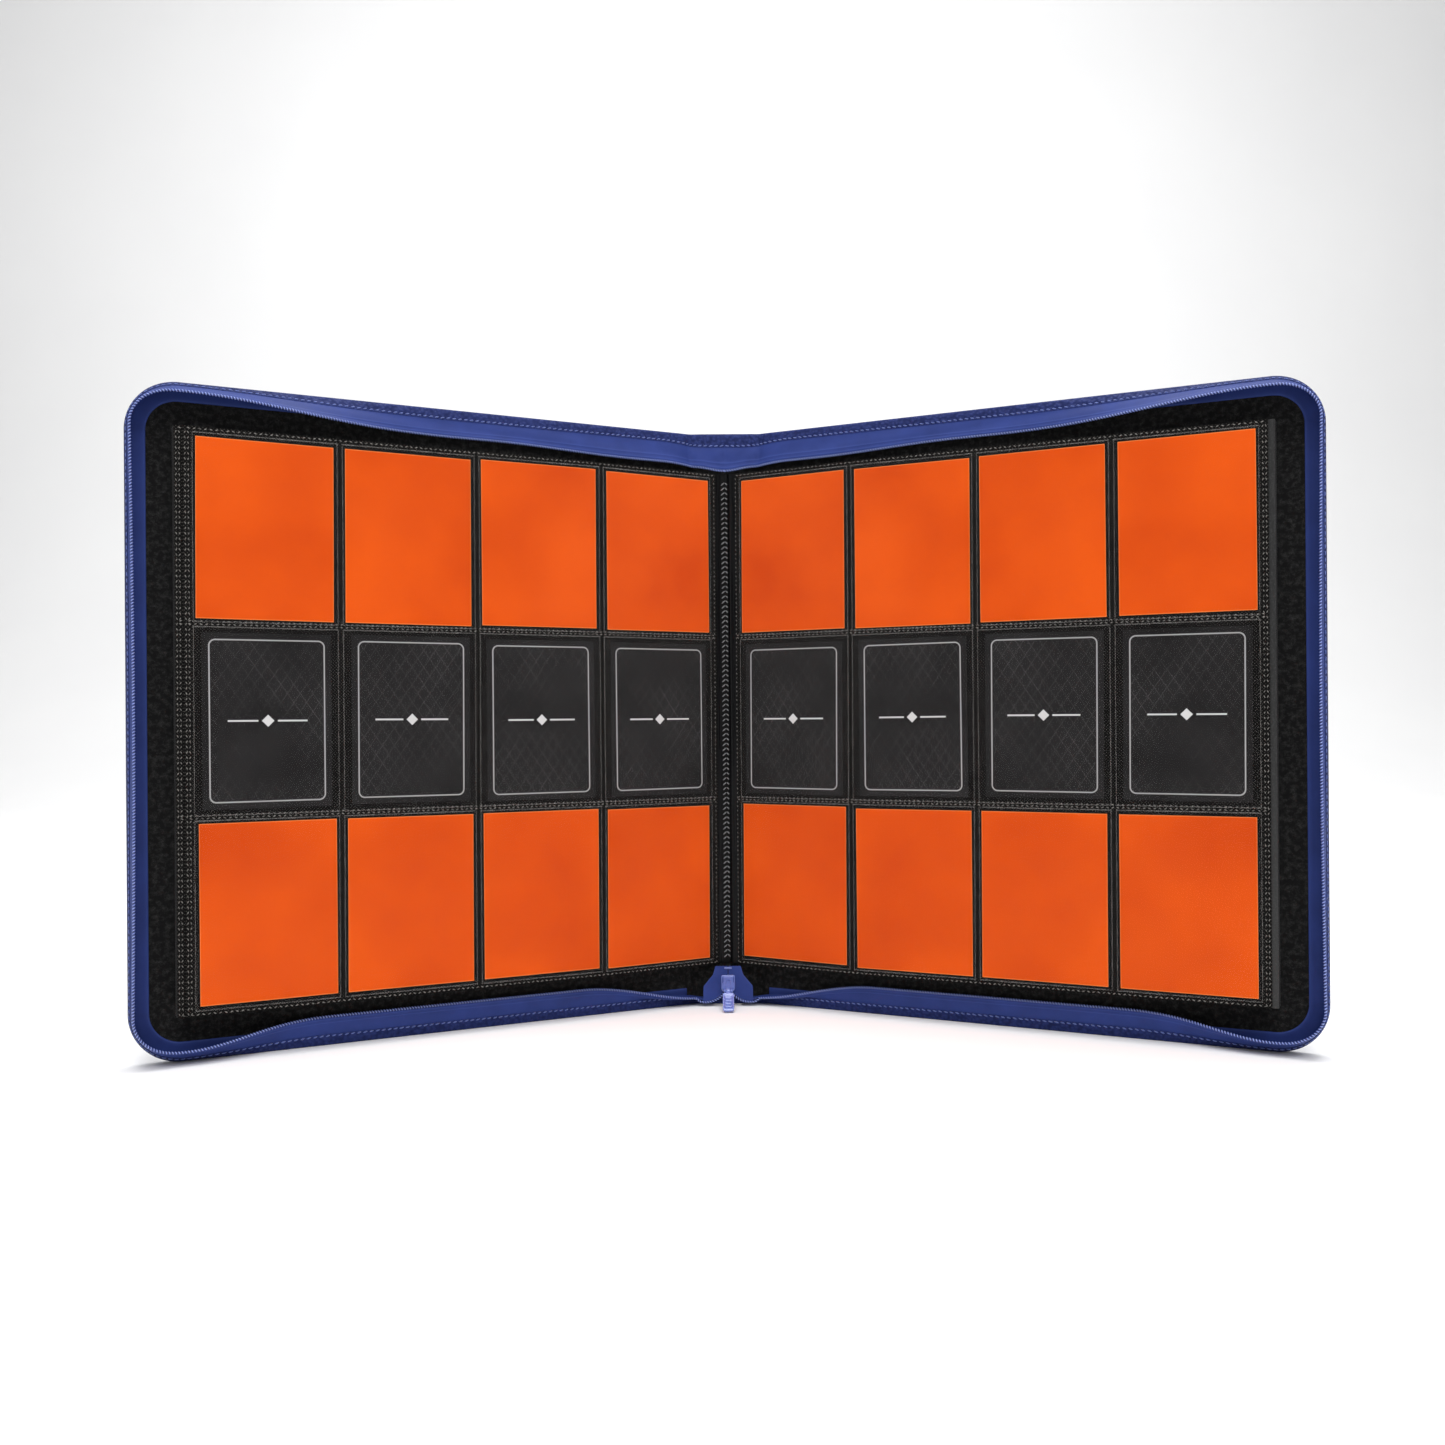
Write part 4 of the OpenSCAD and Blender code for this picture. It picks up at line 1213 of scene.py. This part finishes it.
def make_binding():
    """The strip that holds the leaves on the spine: a low, soft-edged ridge with a sunken seam line."""
    shares = np.linspace(-1, 1, 17)
    z = np.linspace(LEAF_Z, LEAF_Z + LEAF_H, 90)
    rise = BINDING_T * (1 - shares ** 8) - 0.28 * np.exp(-(shares / 0.16) ** 2)
    uneven = 0.06 * np.sin(z / 6.3)[:, None] * (1 - shares ** 2)[None, :]
    x = BINDING_HALF * shares[None, :] + 0.10 * np.sin(z / 11)[:, None]
    top = spine_xyz(x, -(rise[None, :] + uneven) - 0.03, z[:, None])
    bottom = spine_xyz(x, 0.05, z[:, None])
    shape = Shape()
    shape.sheet(top, bottom, flat_of(x, z[:, None], 0))
    return shape.make("page_binding_strip", STRIP, "binding_strip", ["page_binding"], sharp=60)


def make_binding_stitches():
    """Zigzag seam through the binding strip: two columns of slanted stitches that meet in chevrons."""
    points, faces = dome(1.55, 0.36, 0.42)
    z = np.arange(LEAF_Z + 4.0, LEAF_Z + LEAF_H - 4, 2.9)[:, None]
    a, b = points[None, :, 0], points[None, :, 1]
    shape = Shape()
    for column in (-1, 1):
        turn = column * math.radians(-42)
        x = a * math.cos(turn) - b * math.sin(turn) + 1.25 * column
        up = z + a * math.sin(turn) + b * math.cos(turn)
        shape.add_many(spine_xyz(x, -0.48 - points[None, :, 2], up), faces, flat_of(a, b, up))
    return shape.make("binding_seam", GREY_THREAD, "binding_thread", ["binding_stitches"])


def leaf_start_point(side, number, u=0.6):
    """Plan position (distance from the middle, y) of a leaf's bound edge."""
    at = leaf_xyz(side, number, LEAF_START + u, 0.0, CASE_H / 2)
    return np.array([side * at[0], at[1] - LINING_Y])


def curve(points, count):
    """A smooth line through plan points (Catmull-Rom)."""
    points = np.asarray(points, float)
    ends = np.concatenate([[2 * points[0] - points[1]], points, [2 * points[-1] - points[-2]]])
    line = []
    for k in range(len(points) - 1):
        p0, p1, p2, p3 = ends[k:k + 4]
        for t in np.linspace(0, 1, count)[:-1]:
            line.append(0.5 * (2 * p1 + (p2 - p0) * t + (2 * p0 - 5 * p1 + 4 * p2 - p3) * t * t
                               + (3 * p1 - 3 * p2 + p3 - p0) * t ** 3))
    return np.array(line + [points[-1]])


def make_margin(side, plan, name, thickness=0.28, inset=0.0):
    """A leaf's bound margin: a smooth strip of film that rises from the binding to the leaf's bound edge."""
    line = curve(plan, 9)
    ahead = np.gradient(line, axis=0)
    normal = unit(np.stack([ahead[:, 1], -ahead[:, 0]], axis=1))
    z = np.linspace(LEAF_Z + inset, LEAF_Z + LEAF_H - inset, 60)
    sway = 0.12 * np.sin(z / 23 + side)[None, :] * np.sin(np.linspace(0, np.pi, len(line)))[:, None]
    layers = []
    for k in (0.5, -0.5):
        at = line + normal * thickness * k
        layers.append(spine_xyz(side * (at[:, None, 0] + sway), at[:, None, 1], z[None, :]))
    shape = Shape()
    shape.sheet(layers[0], layers[1], flat_of(path_length(line)[:, None], 0, z[None, :]))
    return shape.make(name, MARGIN, "web", sharp=60)


def spine_point(side, plan):
    return Vector(spine_xyz(side * plan[0], plan[1], CASE_H / 2)) * MM


def make_margins():
    """Margins of the leaves: three on the right; on the left one that lies along the spine and then rises to
    the stack, clear of the turning leaf when the case is closed, and one that runs from the stack to the
    turning leaf's bound edge."""
    for k, number in enumerate((1, 4, 8)):
        end = leaf_start_point(1, number, 1.2)
        begin = np.array([1.6 + 1.6 * k, -BINDING_T - 0.12])
        bow = (begin + end) / 2 + np.array([-0.9, -0.5])
        strip = make_margin(1, [begin, bow, end], f"right_margin_{k + 1}", inset=0.3 * k)
        spine_point(1, begin)
        spine_point(1, end)
        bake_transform(strip)
    end = leaf_start_point(-1, 2, 0.4) + np.array([0.1, -0.1])
    turn = np.array([10.3, -0.42])
    low = [(2.4, -BINDING_T - 0.2), (5.6, -BINDING_T - 0.16), (7.0, -0.42), (8.8, -0.32)]
    plan = low + [turn, (10.1, -2.0), end]
    strip = make_margin(-1, plan, "left_margin", thickness=0.24)
    spine_point(-1, turn)
    spine_point(-1, end)
    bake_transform(strip)
    end = leaf_start_point(-1, 1, 1.2)
    begin = leaf_start_point(-1, 2, 1.6) + np.array([0.1, -0.25])
    bow = (begin + end) / 2 + np.array([-0.15, -0.1])
    strip = make_margin(-1, [begin, bow, end], "turning_margin", inset=0.2)
    spine_point(-1, begin)
    spine_point(-1, end)
    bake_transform(strip)


# ---------- Tape ends and slider ----------

END_TOP = 23.4
END_OUTER = ((7.4, END_TOP), (8.8, 18.6), (14.3, 12.0), (14.6, ARC_LOW))


def add_tape_end(shape, side):
    """One of the two tape ends that are sewn together above the slider."""
    t = np.linspace(0, 1, 30)
    straight = END_TOP - ARC_LOW - ARC_R
    total = straight + ARC_R * math.pi / 2
    run = t * total
    a = np.clip((run - straight) / ARC_R, 0, math.pi / 2)
    inner_z = np.where(run < straight, END_TOP - run, ARC_LOW + ARC_R * (1 - np.sin(a)))
    inner = np.stack([0.25 + ARC_R * (1 - np.cos(a)), inner_z], axis=1)
    outer_line = np.array(END_OUTER)
    d = path_length(outer_line)
    outer = np.stack([np.interp(t * d[-1], d, outer_line[:, k]) for k in range(2)], axis=1)
    shares = np.linspace(0, 1, 12)
    at = inner[:, None] + (outer - inner)[:, None] * shares[None, :, None]
    at[0, :, 1] += 0.35 * np.abs(np.sin(np.pi * 4 * shares))
    pucker = 0.12 * np.sin(np.pi * shares)[None, :] * np.sin(t * 7 + 1)[:, None]
    sewn = -0.18 * np.exp(-((shares - 0.88) / 0.04) ** 2)
    face = TAPE_Y - TAPE_T / 2 - pucker - sewn
    top = spine_xyz(side * at[..., 0], face, at[..., 1])
    bottom = spine_xyz(side * at[..., 0], face + TAPE_T, at[..., 1])
    edges = np.exp(-(shares / 0.05) ** 2) + np.exp(-((1 - shares) / 0.04) ** 2)
    shape.sheet(top, bottom, flat_of(at[..., 0] * side, at[..., 1], 0), wear_and_highlight=0.25 * edges)


def make_foot(shape, side):
    """The folded stretch that carries a tape end forward from the bottom of the case."""
    y = np.linspace(TAPE_Y - TAPE_T / 2, -ROOT_H, 12)
    x = np.linspace(8.0, 14.4, 8)
    x, y = np.meshgrid(x, y, indexing="ij")
    sag = 0.5 * np.sin(np.pi * (y - TAPE_Y) / (-ROOT_H - TAPE_Y))
    z = ARC_LOW - 0.1 - sag
    shape.sheet(spine_xyz(side * x, y, z), spine_xyz(side * x, y, z - TAPE_T + 0.1), flat_of(x, y, 0))


def make_tape_ends():
    shape = Shape()
    for side in (-1, 1):
        add_tape_end(shape, side)
        make_foot(shape, side)
    return shape.make("zip_tape_end_pair", TAPE, "zip_tape", ["zip_tape_ends"], sharp=50)


TONGUE_HALF = 2.8


def rounded(half_w, low, high, r_low, r_high, steps=6):
    """Outline (x, z) of an upright shape with round corners, radius r_low below and r_high above."""
    line = []
    corners = ((1, high, r_high, 90), (1, low, r_low, 0), (-1, low, r_low, -90), (-1, high, r_high, -180))
    for x, z, r, start in corners:
        cx = x * (half_w - r)
        cz = z - r if z == high else z + r
        for k in range(steps + 1):
            a = math.radians(start - 90 * k / steps)
            line.append((cx + r * math.cos(a), cz + r * math.sin(a)))
    return line


def shield_line():
    """The crown's outline: a round plate with a narrower, square-shouldered tongue above it."""
    r = 3.75
    centre = SLIDER_Z + r
    join = math.asin(TONGUE_HALF / r)
    right = [(TONGUE_HALF - inset, SLIDER_TOP - drop) for inset, drop in ((0.4, 0), (0.1, 0.12), (0, 0.5))]
    for k in range(13):
        a = join + (math.pi - join) * k / 12
        right.append((r * math.sin(a), centre + r * math.cos(a)))
    return right + [(-x, z) for x, z in reversed(right[:-1])]


def bar(half_x, half_y, half_z, at, corner=0.35, steps=4):
    """Rings of a small round-edged bar along x, centred at a point of the spine frame."""
    rings = []
    for x, grow in ((-half_x, 0.55), (-half_x + corner * 0.4, 0.88), (-half_x + corner, 1.0),
                    (half_x - corner, 1.0), (half_x - corner * 0.4, 0.88), (half_x, 0.55)):
        ring = []
        for cy, cz, start in ((1, 1, 0), (-1, 1, 90), (-1, -1, 180), (1, -1, 270)):
            for k in range(steps):
                a = math.radians(start + 90 * k / (steps - 1))
                y, z = cy * (half_y - corner), cz * (half_z - corner)
                ring.append((x, y + corner * math.cos(a), z + corner * math.sin(a)))
        rings.append(np.array(ring) * [1, grow, grow] + at)
    return np.array(rings)


def to_row(points):
    """From the spine frame to the row frame."""
    return np.asarray(points, float) + [0, LINING_Y, 0]

def turned(profile, x0=0.0, y0=0.0, z0=0.0, sides=16):
    """Rings of a round piece about a line along x: profile is (x, radius)."""
    a = circle(sides)
    return np.array([np.stack([np.full(sides, x0 + x), y0 + r * np.cos(a), z0 + r * np.sin(a)], axis=1)
                     for x, r in profile])


# Distance of each slider plate's inner face from the middle of the tape.
PLATE_OFF = 0.5


def make_slider():
    """The slider's two plates with their rolled edges, and the wedge between them."""
    shape = Shape()
    line = rounded(4.0, SLIDER_Z - 0.1, SLIDER_TOP, 2.2, 1.0)
    layers = [(0.94, 0), (1.0, 0.22), (1.0, 0.80), (0.95, 1.04), (0.84, 1.10), (0.80, 1.02), (0.2, 1.04)]
    for way in (-1, 1):
        rings = plate(line, [(scale, TAPE_Y + way * (PLATE_OFF + y)) for scale, y in layers])
        # The rims of the plates get painted highlights.
        shape.tube(to_row(rings), wear_and_highlight=np.repeat([0.3, 0.5, 0.3, 0.6, 0.1, 0, 0], len(line)))
    shape.tube(to_row(bar(0.85, 1.4, 0.8, np.array([0, TAPE_Y, SLIDER_Z - 0.1]))))
    return shape.make("slider_plates", ENAMEL, "slider", ["slider_body"], sharp=45)


LUG_X, PIN_R = 1.95, 0.68


def make_crown():
    """The shield in front of the slider, on its post, with the two lugs and the pin of the pull tab."""
    shape = Shape()
    line = shield_line()
    back = PIN_Y + 2.6
    rim = [(0.93, 0), (1.0, 0.25), (1.0, 0.85), (0.96, 1.12), (0.90, 1.20)]
    layers = rim + [(0.86, 1.12), (0.55, 1.24), (0.2, 1.30)]
    rings = plate(line, [(scale, back - forward) for scale, forward in layers])
    # The shield's rim gets a painted highlight, and so do the lugs and the pin below.
    shape.tube(to_row(rings), wear_and_highlight=np.repeat([0.2, 0.5, 0.3, 0.7, 0.2, 0.0, 0.05, 0.1], len(line)))
    post_half = (back + 1.6 - TAPE_Y) / 2 - 1.5
    shape.tube(to_row(bar(1.5, post_half, 2.4, np.array([0, back + 1.0, SLIDER_Z + 5.0]))))
    lug = ((-0.55, 1.0), (-0.45, 1.18), (-0.25, 1.3), (0.25, 1.3), (0.45, 1.18), (0.55, 1.0))
    for x0 in (-LUG_X, LUG_X):
        shape.tube(to_row(turned(lug, x0, PIN_Y, PIN_Z)), wear_and_highlight=0.4)
        shape.tube(to_row(bar(0.5, 1.1, 1.15, np.array([x0, (PIN_Y + back) / 2, PIN_Z]))), wear_and_highlight=0.2)
    pin = [(x, PIN_R) for x in np.linspace(-1.5, 1.5, 5)]
    shape.tube(to_row(turned(pin, 0.0, PIN_Y, PIN_Z)), wear_and_highlight=0.3)
    return shape.make("slider_shield", ENAMEL, "slider", ["slider_crown"], sharp=45)


TAB_LEN, TAB_W = 15.0, 6.5


def hang(points):
    """From the pull tab's own frame (pin at the origin, tip along -z) to the row frame."""
    points = np.asarray(points, float)
    y = points[..., 1] * math.cos(TAB_HANG) + points[..., 2] * math.sin(TAB_HANG)
    z = points[..., 2] * math.cos(TAB_HANG) - points[..., 1] * math.sin(TAB_HANG)
    return np.stack([points[..., 0], y + PIN_Y + LINING_Y, z + PIN_Z], axis=-1)


def make_pull_tab():
    """Moulded pull tab: an eye, a neck, and a plate with a raised rim and grip ribs on both faces."""
    shape = Shape()
    eye = ((-1.3, 1.12), (-1.1, 1.3), (1.1, 1.3), (1.3, 1.12), (1.3, 0.8), (-1.3, 0.8))
    shape.tube(hang(turned(eye, sides=20)), wear_and_highlight=0.2, closed=True)
    shape.tube(hang(bar(1.3, 0.72, 1.2, np.array([0, 0, -1.9]))), wear_and_highlight=0.15)
    line = rounded(TAB_W / 2, -TAB_LEN, -1.75, 1.1, 0.9)
    # One face from its middle to the rim, as (scale, y, painted highlight); the other face mirrors it.
    face = [(0.2, 0.42, 0), (0.70, 0.44, 0), (0.76, 0.50, 0.1)]
    face += [(0.82, 0.76, 0.5), (0.93, 0.80, 0.6), (1.0, 0.55, 0.5)]
    layers = face + [(scale, -y, wear_and_highlight) for scale, y, wear_and_highlight in reversed(face)]
    rings = plate(line, [(scale, y) for scale, y, _ in layers])
    shape.tube(hang(rings), wear_and_highlight=np.repeat([wear_and_highlight for _, _, wear_and_highlight in layers], len(line)))
    # The grip ribs carry a painted highlight.
    for z in (-5.6, -7.8, -10.0, -12.2):
        for y in (0.5, -0.5):
            shape.tube(hang(bar(1.75, 0.26, 0.42, np.array([0, y, z]), corner=0.2)), wear_and_highlight=0.5)
    return shape.make("pull_tab_moulding", TAB, "pull_tab", ["pull_tab"], sharp=50)


def make_end_stop():
    """The stop at the end of the zip: a small crimped bar over both coils."""
    low, high = [np.array(v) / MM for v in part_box("zip_end_stop")]
    shape = Shape()
    shape.tube(bar(*(high - low) / 2, (low + high) / 2, corner=0.3), wear_and_highlight=0.3)
    return shape.make("zip_stop", COIL, "zip_teeth", ["zip_end_stop"], sharp=45)


# ---------- Assembly ----------

def make_case():
    for side in (-1, 1):
        for make in (make_skin, make_lining, make_gusset, make_tape, make_coil, make_seam):
            blend_case(make(side), side)
        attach(make_facing(side), f"{word(side)}_cover")
    for node in ("spine_board", "left_board", "right_board"):
        materials = frame["nodes"][node].data.materials
        materials.clear()
        materials.append(BOARD)


def make_detailed_leaf(side, number, prefix, body):
    orange = [f"{prefix}_orange", [f"{prefix}_orange_cards"], ORANGE, "orange_card", 10 + number + side]
    dark = [f"{prefix}_dark", [f"{prefix}_black_cards"], BLACK, "black_card", 20 + number + side]
    for piece in (
        make_web(side, number, prefix),
        make_cards(side, number, (0, 2), (CARD_W, CARD_H), *orange),
        make_cards(side, number, (1,), (DARK_W, DARK_H), *dark),
        make_films(side, number, prefix),
        make_rims(side, number, prefix),
        make_marks(side, number, prefix),
    ):
        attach(piece, body)


def make_leaves():
    make_detailed_leaf(-1, 1, "turning_leaf", "turning_leaf")
    make_detailed_leaf(-1, 2, "left_leaf_2", "left_leaves")
    make_detailed_leaf(1, 1, "right_leaf_1", "right_leaves")
    for side, first in ((-1, 3), (1, 2)):
        for number in range(first, LEAVES + 1):
            make_plain_leaf(side, number)
    make_margins()


def make_spine_details():
    for make in (make_binding, make_binding_stitches, make_tape_ends, make_end_stop):
        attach(make(), "spine")
    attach(make_slider(), "slider")
    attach(make_crown(), "slider")
    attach(make_pull_tab(), "pull_tab")


# ---------- Stage and light, in metres ----------

def stage_material():
    look = Look("stage_paper")
    cloud = look.noise(3.0, 2, vector=look.solid())
    base = look.blend(cloud, (0.86, 0.86, 0.865), (0.90, 0.90, 0.90))
    return look.finish(base, look.span(cloud, 0, 1, 0.85, 0.95), gloss=0.1)


def make_stage():
    """A pale floor that sweeps up into a backdrop, far behind the object."""
    half, front, back, radius, top = 9.0, -6.0, 3.5, 1.6, 7.0
    profile = [(front, 0.0), (back - radius, 0.0)]
    for k in range(1, 17):
        a = math.radians(90 * k / 16)
        profile.append((back - radius + radius * math.sin(a), radius * (1 - math.cos(a))))
    profile.append((back, top))
    points = [(x, y, z) for x in (-half, half) for y, z in profile]
    n = len(profile)
    mesh = bpy.data.meshes.new("stage")
    mesh.from_pydata(points, [], [(i, i + 1, n + i + 1, n + i) for i in range(n - 1)])
    mesh.polygons.foreach_set("use_smooth", [True] * (n - 1))
    mesh.materials.append(stage_material())
    stage = bpy.data.objects.new("stage", mesh)
    bpy.context.scene.collection.objects.link(stage)


def area_light(name, place, target, size, power):
    data = bpy.data.lights.new(name, "AREA")
    data.shape = "RECTANGLE"
    data.size, data.size_y = size
    data.energy = power
    light = bpy.data.objects.new(name, data)
    light.location = place
    light.rotation_mode = "QUATERNION"
    light.rotation_quaternion = (Vector(target) - Vector(place)).to_track_quat("-Z", "Y")
    bpy.context.scene.collection.objects.link(light)


def make_light():
    """Soft studio light: a broad box above and in front, two side fills, and a pale room."""
    centre = (0, 0, 0.17)
    area_light("overhead", (0.1, -0.1, 2.1), centre, (2.2, 1.6), 46)
    area_light("front", (0.15, -1.7, 1.75), centre, (1.8, 1.0), 32)
    area_light("left_fill", (-2.0, -1.35, 0.6), centre, (0.8, 1.6), 7)
    area_light("right_fill", (2.0, -1.35, 0.6), centre, (0.8, 1.6), 7)
    area_light("backdrop_fill", (0, 1.2, 2.6), (0, 3.2, 0.9), (3.0, 1.0), 56)
    world = bpy.data.worlds.new("room")
    world.use_nodes = True
    world.node_tree.nodes["Background"].inputs["Color"].default_value = (1, 1, 1, 1)
    world.node_tree.nodes["Background"].inputs["Strength"].default_value = 0.3
    bpy.context.scene.world = world
    bpy.context.scene.view_settings.view_transform = "Standard"
    bpy.context.scene.view_settings.look = "None"


make_case()
make_spine_details()
make_leaves()
make_stage()
make_light()
